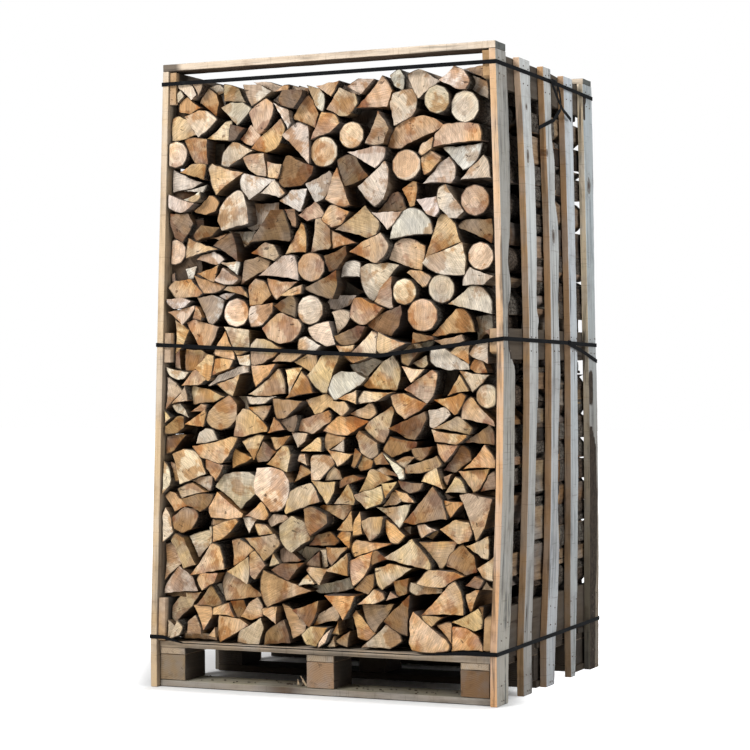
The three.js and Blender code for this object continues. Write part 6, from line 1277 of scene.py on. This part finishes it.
def add_slat(out, node, rng, outward, tints, live, wane, stain):
    """A weathered slat over a packed one. tints are the outer face, the inner face, the front edge
    and the back edge, each low and high; live roughens the back edge; wane tells where bark is left."""
    rows = slat_levels(node)
    seed = rng.random()
    z0, z1 = rows[0][0], rows[-1][0]
    count, across, thick = SLAT_STEPS
    starts = []
    between = [z0 + 1.6 + (z1 - z0 - 3.2) * k / count for k in range(count + 1)]
    heights = [z0 + 0.8, *between, z1 - 0.8]
    last_index = len(heights) - 1
    for index, z in enumerate(heights):
        xf0, xf1 = spline(rows, 1, z), spline(rows, 2, z)
        xb0, xb1 = spline(rows, 3, z), spline(rows, 4, z)
        yf, yb = spline(rows, 5, z), spline(rows, 6, z)
        fine = noise.noise(Vector((z * 0.018, seed * 70, 1.0))) * 3.0 * live
        fine += noise.noise(Vector((z * 0.07, seed * 70, 2.0))) * 1.6 * live
        yb = yb + fine - 1.2 * live
        yf = yf + abs(noise.noise(Vector((z * 0.02, seed * 30, 5.0)))) * 1.2 * live
        inset = 1.2 if index in (0, last_index) else 0.0
        e = SLAT_EDGE
        points, tint, bark = [], [], []

        def add(x, y, t, b=0.0):
            bump = noise.noise(Vector((x * 0.05, y * 0.05, z * 0.012 + seed * 20))) * 0.5 - 0.4
            points.append((x, y, z, bump))
            tint.append(t)
            bark.append(b)

        def add_face(x_front, x_back, shares, pull, color, bare):
            for u in shares:
                b = 0.0 if bare or not wane else wane(u, z)
                end = 0 if min(shares) < u < max(shares) else inset if u < 0.5 else -inset
                add(x_front + (x_back - x_front) * u + pull, yf + (yb - yf) * u + end, color, b)

        def add_edge(x_from, x_to, y, color, b):
            for k in range(thick + 1):
                add(x_from + (x_to - x_from) * k / thick, y, color, b)

        level = smooth((z - 150) / 1500)
        outside, inside, front, back = [
            tuple(p + (q - p) * level for p, q in zip(low, high)) for low, high in tints
        ]
        high_x, low_x = (outside, inside) if outward > 0 else (inside, outside)
        width = yb - yf
        shares = [(e + (width - 2 * e) * k / across) / width for k in range(across + 1)]
        add_face(xf1, xb1, shares, -inset, high_x, outward < 0)
        add_edge(xb1 - e, xb0 + e, yb - inset, back, 0.25 * live)
        add_face(xf0, xb0, [1 - u for u in shares], inset, low_x, outward > 0)
        add_edge(xf0 + e, xf1 - e, yf + inset, front, 0.0)
        cx = sum(p[0] for p in points) / len(points)
        cy = sum(p[1] for p in points) / len(points)
        at = z0 if index == 0 else z1 if index == last_index else z
        final = []
        for x, y, _, bump in points:
            x += math.copysign(0.5, x - cx) * bump
            y += math.copysign(0.3, y - cy) * bump
            final.append((x * MM, y * MM, at * MM))
        grain = [((p[0] - cx) * MM, (p[1] - cy) * MM + 0.1, seed) for p in points]
        starts.append(out.add(final, grain=grain, tint=tint, seed=seed, wane=bark, stain=stain))
    n_ring = 2 * (across + thick + 2)
    for p, q in zip(starts, starts[1:]):
        for i in range(n_ring):
            j = (i + 1) % n_ring
            out.face((p + i, p + j, q + j, q + i), 0)
    for p, z, up in ((starts[0], z0, False), (starts[-1], z1, True)):
        ring = out.verts[p:p + n_ring]
        cx = sum(v[0] for v in ring) / n_ring
        cy = sum(v[1] for v in ring) / n_ring
        bare = {"grain": (0.0, 0.1, seed), "tint": tints[3][1], "wane": 0.0}
        middle = out.add([(cx, cy, z * MM)], seed=seed, stain=stain, **bare)
        for i in range(n_ring):
            j = (i + 1) % n_ring
            out.face((p + i, p + j, middle) if up else (p + j, p + i, middle), 1)


# Firewood, in three rows from the front to the back
END, SIDE, BARK = log_end_material(), log_side_material(), bark_material()
LOG_LOOK = [END, SIDE, BARK]
rng = random.Random(21)
logs = read_logs()
for log in logs:
    log["color"] = log_color(log, rng)
    log["deep"] = log["tone"] in SETBACKS

# Where the front row ends, the middle one starts and ends and the back one starts, in millimetres.
FRONT_TO, MIDDLE_FROM, MIDDLE_TO, BACK_FROM = -175.0, -160.0, 140, 160.0
HIDDEN_GROWTH = 10.0
NEAR_SIDE = 520.0
SPLIT_Z = 1050
STICKS_FROM, STICKS_TO = 300, 1010
BACK_SETBACK, DEEP_SETBACK = 34, 30


def reach_side(ring):
    """A ring that nearly meets a side panel, drawn out until it leans on it."""
    middle = sum(p[0] for p in ring) / len(ring)
    side = 1 if middle > 0 else -1
    far = max(p[0] * side for p in ring)
    if far < NEAR_SIDE:
        return ring
    pull = (SIDE_X - side * middle) / (far - side * middle)
    return [(middle + (x - middle) * pull if (x - middle) * side > 0 else x, z) for x, z in ring]


def crowd(rows):
    """The same logs made a little thicker, each stopped where it meets its neighbours."""
    rings = [bound(grow(reach_side(log["ring"]), HIDDEN_GROWTH)) for log in rows]
    thicker = [dict(log, ring=ring, circle=None) for log, ring in zip(rows, rings)]
    share_room(thicker, rounds_first=False)
    return large_enough(thicker)


def mirror(log):
    return dict(log, ring=[(-x, z) for x, z in log["ring"]][::-1])


def wood_piece(name, chosen, span, detail):
    out = Builder()
    for log in chosen:
        y0, y1 = span(log)
        add_log(out, log, y0, y1, rng, detail)
    return out.build(name, LOG_LOOK, 40)


def height_of(log):
    return sum(p[1] for p in log["ring"]) / len(log["ring"])


def front_span(log):
    return log["front"], FRONT_TO + rng.uniform(-12, 6)


def middle_span(_):
    return MIDDLE_FROM + rng.uniform(-10, 10), MIDDLE_TO + rng.uniform(-10, 8)


def back_span(log):
    start = BACK_FROM + rng.uniform(-8, 12)
    end = BACK_END - (rng.random() ** 2) * BACK_SETBACK - (DEEP_SETBACK if log["deep"] else 0)
    return start, end


def side_sticks(low, high, chance):
    """Round sticks in their bark, one on another behind the last slats of the right side. Their ends
    take the dark k tone, painted shade.
    """
    sticks = []
    while low < high:
        radius = chance.uniform(36, 50)
        x, z = SIDE_X - radius, low + radius
        ring = bound(round_ring(x, z, radius))
        stick = {"tone": "k", "ring": ring, "circle": (x, z, radius), "deep": True}
        sticks.append(dict(stick, color=log_color(stick, chance)))
        low += 1.6 * radius
    return sticks


def above(rows):
    return [log for log in rows if height_of(log) >= SPLIT_Z]


def below(rows):
    return [log for log in rows if height_of(log) < SPLIT_Z]


behind = crowd(logs)
side_row = side_sticks(STICKS_FROM, STICKS_TO, random.Random(5))
ROUNDS = sorted(n for n in NODES if n.startswith("round_log_"))
wood = [
    wood_piece("wood_front_upper", above(logs), front_span, FINE),
    wood_piece("wood_front_lower", below(logs), front_span, FINE),
    wood_piece("wood_middle", [mirror(log) for log in behind], middle_span, ROUGH),
    wood_piece("wood_back_upper", above(behind), back_span, PLAIN),
    wood_piece("wood_back_lower", below(behind) + side_row, back_span, PLAIN),
]
for piece in wood:
    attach(piece, "root")
    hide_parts("firewood_stack", *ROUNDS)


# Side panels. A knot is a place and half sizes in metres, so wide in x that x plays no part.
KNOTS = [
    ((0.64, -0.238, 1.745), (9.0, 0.016, 0.026)),
    ((0.64, -0.045, 1.775), (9.0, 0.011, 0.017)),
    ((0.64, -0.005, 1.500), (9.0, 0.016, 0.028)),
    ((0.64, -0.238, 1.905), (9.0, 0.012, 0.012)),
    ((0.62, 0.452, 1.705), (9.0, 0.024, 0.034)),
]
ALONG_X, ALONG_Y, ALONG_Z = (0.04, 1.0, 1.0), (1.0, 0.04, 1.0), (1.0, 1.0, 0.04)
SLAT = board_material("slat wood", ALONG_Z, 0.45, 0.4, KNOTS)
LEFT_SLAT = board_material("left slat wood", ALONG_Z, 0.45, 0.4)


def shaded_rail_tint(t):
    """Wood painted dark as the shade behind the slats, still tan at the cut front ends."""
    y = t.put("ShaderNodeSeparateXYZ", {"Vector": object_vector(t)}).outputs["Y"]
    # srgb(82, 72, 61) is painted shade; the tan is the cut front ends' own colour.
    return t.mix(t.ramp(y, -0.492, -0.472), srgb(190, 154, 112), srgb(82, 72, 61))


RAIL = board_material("rail wood", ALONG_Y, 0.5, 0.5, tint=shaded_rail_tint)
PALLET_X = board_material("pallet wood", ALONG_X, 0.5, 0.5)
CUT = block_material()
# Faces, front edges and streaks of the right slats from first to last; a pair is low and high.
SLAT_FACES = [
    (srgb(160, 156, 147), srgb(152, 149, 142)),
    (srgb(152, 149, 144), srgb(190, 192, 190)),
    (srgb(170, 172, 174), srgb(180, 181, 179)),
    (srgb(166, 169, 169), srgb(190, 196, 201)),
    (srgb(132, 119, 103), srgb(172, 180, 183)),
]
SLAT_EDGES = [
    (srgb(214, 166, 120), srgb(222, 182, 140)),
    (srgb(172, 139, 101), srgb(222, 179, 133)),
    (srgb(161, 130, 99), srgb(198, 158, 116)),
    (srgb(144, 119, 92), srgb(190, 152, 113)),
    (srgb(106, 98, 84), srgb(240, 220, 188)),
]
LEFT_EDGE = (srgb(206, 178, 139), srgb(216, 191, 158))
INSIDE = (srgb(140, 120, 96), srgb(150, 130, 104))
BACK_EDGE = (srgb(128, 110, 92), srgb(140, 122, 102))
STAINS = [1.0, 0.5, 0.7, 0.45, 0.75]


def last_slat_wane(u, z):
    """The bark left on the rearmost slat, at a share u of its width from the front and a height."""
    if z > 1075:
        top = 0.75 if z > 1935 and u < 0.3 - (1990 - z) * 0.002 else 0.0
        return top if z < 2030 else 0.0
    if z > 890:
        across = 1.0 if u < 0.42 else max(0.0, 1 - (u - 0.42) * 9)
        return 0.95 * max(0.0, 1 - ((z - 985) / 90) ** 2) * across
    if z > 850:
        return 0.0
    reach = along([(0, 0.5), (200, 0.55), (420, 0.75), (600, 0.8), (780, 0.72), (850, 0.3)], z)
    return 0.95 if u < reach else max(0.0, 0.95 - (u - reach) * 8)


def first_slat_wane(u, z):
    """The bark edge where the front slat is notched."""
    if 1085 < z < 1260:
        return 0.7 if u > 0.8 else 0.0
    if 1260 < z < 1470:
        return 0.6 if u > 0.86 else 0.0
    return 0.0


def slat(side, number, face, edge, wane, stain):
    """A slat over its packed one: wavy and grey on the right, straighter on the left."""
    outward, live, finish = (1, 1.0, SLAT) if side == "right" else (-1, 0.35, LEFT_SLAT)
    out = Builder()
    looks = (face, INSIDE, edge, BACK_EDGE)
    add_slat(out, f"slat_{side}_{number}", rng, outward, looks, live, wane, stain)
    return out.build(f"{side}_slat_{number}", [finish, CUT])


slats = []
for i in range(5):
    wane = {0: first_slat_wane, 4: last_slat_wane}.get(i)
    piece = slat("right", i + 1, SLAT_FACES[i], SLAT_EDGES[i], wane, STAINS[i])
    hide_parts(f"slat_right_{i + 1}")
    slats.append(piece)
    edge = SLAT_EDGES[(i * 2) % 5] if i else LEFT_EDGE
    piece = slat("left", i + 1, SLAT_FACES[(i + 2) % 5], edge, None, STAINS[(i + 3) % 5])
    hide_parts(f"slat_left_{i + 1}")
    slats.append(piece)
for piece in slats:
    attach(piece, "root")

for side in ("left", "right"):
    for name in ("bottom", "middle", "top"):
        node = NODES[f"rail_{side}_{name}"]
        node.data.materials.clear()
        node.data.materials.append(RAIL)
        bevel = node.modifiers.new("worn edges", "BEVEL")
        bevel.width = 1.5 * MM
        bevel.segments = 2
        bevel.limit_method = "ANGLE"


# Pallet and battens
def boards(names, axis, tints, slot, material, **more):
    """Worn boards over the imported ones, each a little lighter or darker than the last."""
    for name in names:
        out = Builder()
        low, high = corner_box(name)
        shade = rng.uniform(0.92, 1.06)
        used = [tuple(min(0.9, v * shade) for v in c) for c in tints]
        add_box(out, low, high, rng, axis, used, **more)
        piece = out.build(f"worn_{name}", [material, CUT])
        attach(piece, "root")
        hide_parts(name)


def blend(a, b, share):
    return tuple(u + (w - u) * share for u, w in zip(a, b))


def rotten_patch(p, side, color):
    """The dark, damp length of the front bottom board, left of the middle block."""
    share = smooth(1 - abs(p[0] + 150) / 120) * (1.0 if side in (2, 4) else 0.6)
    if side == 5:
        level = 1.25 - 0.45 * smooth((p[0] + 300) / 600)
        color = tuple(v * level for v in color)
    return blend(color, srgb(84, 66, 51), 0.85 * share)


def weathered_end(p, side, color):
    """The grey, rough left end of the front batten."""
    share = smooth((-(HALF_X - 95) - p[0]) / 12) if side in (2, 4, 5) else 0.0
    return blend(color, srgb(98, 88, 78), 0.9 * share)


deck_brown = srgb(174, 155, 131)
# Painted shade: the near black of the boards inside the pallet and of the front bottom board's
# underside.
inside_shade_brown = srgb(70, 61, 51)
board_face = srgb(154, 144, 131)
# Painted shade: the dark brown of pallet faces in shade, namely the right ends, the stringer sides and
# the block faces turned into the pallet.
painted_shade_brown = srgb(66, 57, 48)
board_top = srgb(146, 139, 119)
side_brown = srgb(128, 108, 86)
PALLET_Y = board_material("stringer wood", ALONG_Y, 0.5, 0.5)
BATTEN = board_material("batten wood", ALONG_X, 0.15, 0.55)
names = sorted(NODES)
decks = [n for n in names if n.startswith("deck_board_")]
floors = [n for n in names if n.startswith("bottom_board_")]


def pallet(names, axis, tints, **more):
    boards(names, axis, tints, "pallet_wood", PALLET_Y if axis else PALLET_X, **more)


pallet(decks[:1], 0, [deck_brown, painted_shade_brown] + [deck_brown] * 4, rough=1.1, stain=0.7)
pallet(decks[1:], 0, [inside_shade_brown, painted_shade_brown] + [inside_shade_brown] * 4, rough=1.0, stain=0.5)
front_tints = [board_face] * 4 + [inside_shade_brown, board_top]
pallet(["bottom_board_front"], 0, front_tints, rough=1.2, shade=rotten_patch, stain=0.35)
pallet([n for n in floors if n != "bottom_board_front"], 0, [inside_shade_brown] * 6)
stringers = [n for n in names if n.startswith("stringer_")]
pallet(stringers, 1, [painted_shade_brown] * 2 + [deck_brown] * 4, rough=0.8)
block_tints = {"left": srgb(140, 120, 94), "middle": srgb(162, 132, 103), "right": srgb(122, 94, 66)}
# Block faces turned into the pallet, the whole middle row and the right sides of the blocks take the
# painted shade brown.
for column, tint in block_tints.items():
    for row in ("front", "middle", "back"):
        front, back = [tint if row == shown else painted_shade_brown for shown in ("front", "back")]
        sides = [side_brown, painted_shade_brown, front, back, side_brown, side_brown]
        pallet([f"block_{row}_{column}"], 1, sides, rough=1.2, edge=2.5)
# The battens' underside tint, srgb(96, 80, 66), is painted shade; the other sides are the wood's own
# greys and tans.
batten_tints = [
    srgb(120, 118, 110), srgb(92, 95, 92), srgb(220, 202, 180), srgb(176, 150, 118), srgb(96, 80, 66),
    srgb(158, 156, 150),
]
boards(["top_batten_front", "top_batten_back"], 0, batten_tints, "batten_wood", BATTEN,
       rough=0.9, shade=weathered_end, stain=0.7)


# Nails, crumbs of bark and splinters: small forms set out by rule with Geometry Nodes
GEOMETRY, FINISH, WHOLE = "NodeSocketGeometry", "NodeSocketMaterial", "NodeSocketInt"


def make_scatter():
    """Sets a small blunt cone on every point, turned to the point's facing and sized by chance."""
    tree, t, src, out = new_group(
        "small forms",
        [("Points", GEOMETRY, None), ("Sides", WHOLE, 8), ("Width", FLOAT, 0.008),
         ("Height", FLOAT, 0.002), ("Least", VECTOR, (0.9, 0.9, 0.9)),
         ("Most", VECTOR, (1.1, 1.1, 1.1)), ("Tumble", FLOAT, 0.0), ("Seed", WHOLE, 1),
         ("Finish", FINISH, None)],
        [("Pieces", GEOMETRY)],
        "GeometryNodeTree",
    )
    half = t.times(src["Width"], 0.5)
    form = t.put("GeometryNodeMeshCone", {
        "Vertices": src["Sides"], "Radius Bottom": half, "Radius Top": t.times(half, 0.7),
        "Depth": src["Height"],
    })
    facing = t.put("GeometryNodeInputNamedAttribute", {"Name": "facing"}, data_type="FLOAT_VECTOR")
    upright = t.put("FunctionNodeAlignRotationToVector", {"Vector": facing.outputs[0]}, axis="Z")
    full = t.times(src["Tumble"], math.tau)
    spin = t.put("FunctionNodeRandomValue", {"Seed": src["Seed"]}, data_type="FLOAT_VECTOR")
    turned = t.vmath("MULTIPLY", spin.outputs[0], t.grey(full))
    further = t.put("FunctionNodeEulerToRotation", {0: turned})
    tumbled = t.put("FunctionNodeRotateRotation", {
        "Rotation": upright.outputs[0], "Rotate By": further.outputs[0],
    }, rotation_space="LOCAL")
    size = t.put("FunctionNodeRandomValue", {
        "Min": src["Least"], "Max": src["Most"], "Seed": t.math("ADD", src["Seed"], 5.0),
    }, data_type="FLOAT_VECTOR")
    placed = t.put("GeometryNodeInstanceOnPoints", {
        "Points": src["Points"], "Instance": form.outputs["Mesh"], "Rotation": tumbled.outputs[0],
        "Scale": size.outputs[0],
    })
    whole = t.put("GeometryNodeRealizeInstances", {"Geometry": placed.outputs[0]})
    done = t.put("GeometryNodeSetMaterial", {"Geometry": whole.outputs[0], "Material": src["Finish"]})
    t.give(out, Pieces=done.outputs[0])
    return tree


SCATTER = make_scatter()


def scattered(name, spots, slot, **sizes):
    """A plain mesh of one small form on each spot. A spot is a place, in millimetres, and the way
    that the form faces there."""
    mesh = bpy.data.meshes.new(name + "_spots")
    mesh.from_pydata([tuple(v * MM for v in place) for place, _ in spots], [], [])
    layer = mesh.attributes.new("facing", "FLOAT_VECTOR", "POINT")
    layer.data.foreach_set("vector", np.array([way for _, way in spots], np.float32).ravel())
    holder = bpy.data.objects.new(name + "_spots", mesh)
    bpy.context.scene.collection.objects.link(holder)
    modifier = holder.modifiers.new("small forms", "NODES")
    modifier.node_group = SCATTER
    where = {s.name: s.identifier for s in SCATTER.interface.items_tree if s.in_out == "INPUT"}
    for label, value in sizes.items():
        modifier[where[label]] = value
    graph = bpy.context.evaluated_depsgraph_get()
    result = bpy.data.meshes.new_from_object(holder.evaluated_get(graph))
    holder.modifiers.remove(modifier)
    bpy.data.objects.remove(holder)
    result.name = name
    piece = bpy.data.objects.new(name, result)
    bpy.context.scene.collection.objects.link(piece)
    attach(piece, "root")
    return piece


def nail_material():
    material, t = new_material("nail steel")
    place = object_vector(t)
    rust = t.ramp(t.noise(place, 320.0, 3.0, 0.6), 0.42, 0.6)
    color = t.mix(rust, srgb(112, 106, 100), srgb(98, 76, 60))
    finished(t, {
        "Base Color": color, "Metallic": t.ramp(rust, 0.0, 1.0, 0.8, 0.1),
        "Roughness": t.ramp(rust, 0.0, 1.0, 0.45, 0.8), "Normal": bumped(t, rust, 0.3, 0.0004),
    })
    return material


def splinter_material():
    material, t = new_material("splinter wood")
    place = object_vector(t)
    grain = t.noise(t.vmath("MULTIPLY", place, (1.0, 1.0, 0.2)), 300.0, 3.0, 0.6)
    color = t.mix(t.ramp(grain, 0.35, 0.65), srgb(206, 186, 156), srgb(158, 132, 102))
    surface(t, color, 0.85, grain, 0.5, 0.0008, 0.2)
    return material


# Heights of the nails and how far each stands from the slat's middle, in millimetres.
NAIL_LEVELS = [
    (14, 9), (68, 16), (203, 26), (262, 26), (1115, 24), (1160, 24), (1978, 22), (2034, 22),
]
NAIL_SINK = 0.4


def slat_nails(side, index):
    """Two nails side by side at each level of one slat, never quite level with each other."""
    rows = slat_levels(f"slat_{side}_{index}")
    outward = 1 if side == "right" else -1
    near, far = (2, 4) if outward > 0 else (1, 3)
    spots = []
    for z, spread in NAIL_LEVELS:
        front, back = spline(rows, 5, z), spline(rows, 6, z)
        for share in (-1, 1):
            y = (front + back) / 2 + share * spread + rng.uniform(-7, 7)
            level = z + rng.uniform(-6, 6) if z > 30 else z
            u = (y - front) / (back - front)
            x = spline(rows, near, level) * (1 - u) + spline(rows, far, level) * u
            spots.append(((x + outward * NAIL_SINK, y, level), (outward, rng.uniform(-0.1, 0.1), 0)))
    return spots


NAIL = nail_material()
head = {"Sides": 10, "Width": 5.5 * MM, "Height": 1.8 * MM, "Finish": NAIL}
for side in ("right", "left"):
    spots = [spot for index in range(1, 6) for spot in slat_nails(side, index)]
    scattered(f"nails_{side}", spots, "slat_wood", Seed=3, **head)
spots = []
for batten in ("top_batten_front", "top_batten_back"):
    low, high = corner_box(batten)
    for x in (low[0] + 14, low[0] + 32, high[0] - 40, high[0] - 18):
        y = (low[1] + high[1]) / 2 + rng.uniform(-26, 26)
        spots.append(((x, y, high[2] - NAIL_SINK), (0, 0, 1)))
scattered("nails_top", spots, "batten_wood", Seed=8, **head)

CRUMBS = 46
BARE_TOP = corner_box("bottom_board_front")[1][2]
block_edges = [corner_box(f"block_front_{column}") for column in ("left", "middle", "right")]
spots = []
while len(spots) < CRUMBS:
    x, y = rng.uniform(-585, 560), rng.uniform(-480, -362)
    if all(x < low[0] - 8 or x > high[0] + 8 for low, high in block_edges):
        spots.append(((x, y, BARE_TOP + 0.6), (0, 0, 1)))
scattered("bark_crumbs", spots, "firewood", Sides=6, Width=8 * MM, Height=3 * MM, Seed=11,
          Least=(0.4, 0.4, 0.4), Most=(1.6, 1.1, 1.1), Finish=BARK)
beside_block = block_edges[1][0][0] - 8
spots = []
for i in range(5):
    place = (beside_block - 9 * i, -472 + 13 * (i % 3), BARE_TOP + 5 + 3 * (i % 2))
    spots.append((place, (-0.5, 0.2 * i, 0.5)))
scattered("splinters", spots, "firewood", Sides=4, Width=9 * MM, Height=34 * MM, Seed=4,
          Least=(0.3, 0.2, 0.5), Most=(0.7, 0.4, 1.1), Finish=splinter_material())


# Straps
def strap_material():
    material, t = new_material("strap band")
    place = t.put("ShaderNodeTexCoord").outputs["Object"]
    weave = t.noise(place, 420.0, 2.0, 0.5)
    dust = t.ramp(t.noise(place, 18.0, 4.0, 0.65), 0.55, 0.75, 0.0, 0.06)
    base = t.mix(t.ramp(weave, 0.35, 0.65), srgb(4, 5, 7), srgb(10, 12, 16))
    color = t.mix(dust, base, srgb(84, 86, 88))
    surface(t, color, 0.7, weave, 0.25, 0.0006, 0.12)
    return material


STRAP = strap_material()
for name in ("strap_top", "strap_middle", "strap_bottom"):
    node = NODES[name]
    node.data.materials.clear()
    node.data.materials.append(STRAP)


# Floor, light and camera
def area_light(name, place, target, size, power, color=(1, 1, 1)):
    data = bpy.data.lights.new(name, "AREA")
    data.shape = "DISK"
    data.size = size
    data.energy = power
    data.color = color
    light = bpy.data.objects.new(name, data)
    light.location = place
    light.rotation_euler = (Vector(target) - Vector(place)).to_track_quat("-Z", "Y").to_euler()
    bpy.context.scene.collection.objects.link(light)


# The floor shines softly to the camera where the crate throws no shadow on it.
FLOOR_HALF = 30.0
UNDER_Y, UNDER_HALF = 0.35, (0.62, 0.87)
SHADOW_REACH = 0.2
BEHIND, BEHIND_START = (1.0, 0.5, 0.0), 0.25
floor_mesh = bpy.data.meshes.new("floor")
floor_mesh.from_pydata(
    [(x * FLOOR_HALF, y * FLOOR_HALF, -0.001) for x, y in ((-1, -1), (1, -1), (1, 1), (-1, 1))],
    [], [(0, 1, 2, 3)],
)
floor = bpy.data.objects.new("floor", floor_mesh)
bpy.context.scene.collection.objects.link(floor)
floor_material, ft = new_material("pale floor")
spot = ft.put("ShaderNodeTexCoord").outputs["Object"]
past = ft.vmath("SUBTRACT", spot, (0.0, UNDER_Y, 0.0))
slant = ft.put("ShaderNodeVectorMath", {0: spot, 1: BEHIND}, operation="DOT_PRODUCT").outputs["Value"]
hidden = ft.math("ABSOLUTE", ft.math("ADD", slant, BEHIND_START))
sides = ft.put("ShaderNodeSeparateXYZ", {"Vector": ft.vmath("ABSOLUTE", past)}).outputs
beyond = ft.math("SUBTRACT", hidden, UNDER_HALF[0]), ft.math("SUBTRACT", sides["Y"], UNDER_HALF[1])
open_floor = ft.ramp(ft.math("MAXIMUM", *beyond), 0.0, SHADOW_REACH)
grain = ft.ramp(ft.noise(spot, 40.0), 0.3, 0.7, 0.84, 0.88)
seen = ft.put("ShaderNodeLightPath").outputs["Is Camera Ray"]
lift = ft.times(ft.times(open_floor, seen), 0.9)
settings = {"Base Color": ft.grey(grain), "Roughness": 0.9, "Emission Strength": 1.0}
settings["Emission Color"] = ft.grey(lift)
finished(ft, settings)
floor_mesh.materials.append(floor_material)

area_light("key", (-2.6, -5.5, 5.2), (0, 0, 1.0), 3.0, 400)
area_light("side", (5.5, -1.5, 3.2), (0.3, 0, 1.0), 3.5, 190, (0.95, 0.98, 1.0))
area_light("top", (0.5, 0.5, 6.0), (0, 0, 1.0), 3.0, 170)

world = bpy.data.worlds.new("studio")
bpy.context.scene.world = world
world.use_nodes = True
sky = Tree(world.node_tree)
backdrop = world.node_tree.nodes["Background"]
backdrop.inputs["Color"].default_value = (1, 1, 1, 1)
view = sky.put("ShaderNodeLightPath").outputs["Is Camera Ray"]
strength = sky.math("ADD", sky.times(view, 0.68), 0.32)
world.node_tree.links.new(strength, backdrop.inputs["Strength"])

# The camera as worked out from the photo
CAMERA = (3.0137 + SHIFT_X * MM, -6.7495 + SHIFT_Y * MM, 1.0409)
YAW, ROLL = math.radians(24.148), math.radians(-0.4)
camera_data = bpy.data.cameras.new("camera")
camera_data.sensor_width = 36.0
camera_data.lens = 102.70
camera = bpy.data.objects.new("camera", camera_data)
bpy.context.scene.collection.objects.link(camera)
bpy.context.scene.camera = camera
forward = Vector((-math.sin(YAW), math.cos(YAW), 0))
right = Vector((math.cos(YAW), math.sin(YAW), 0))
across = right * math.cos(ROLL) + Vector((0, 0, 1)) * math.sin(ROLL)
upward = -right * math.sin(ROLL) + Vector((0, 0, 1)) * math.cos(ROLL)
turn = Matrix((across, upward, -forward)).transposed().to_4x4()
camera.matrix_world = Matrix.Translation(CAMERA) @ turn
bpy.context.scene.view_settings.view_transform = "Standard"
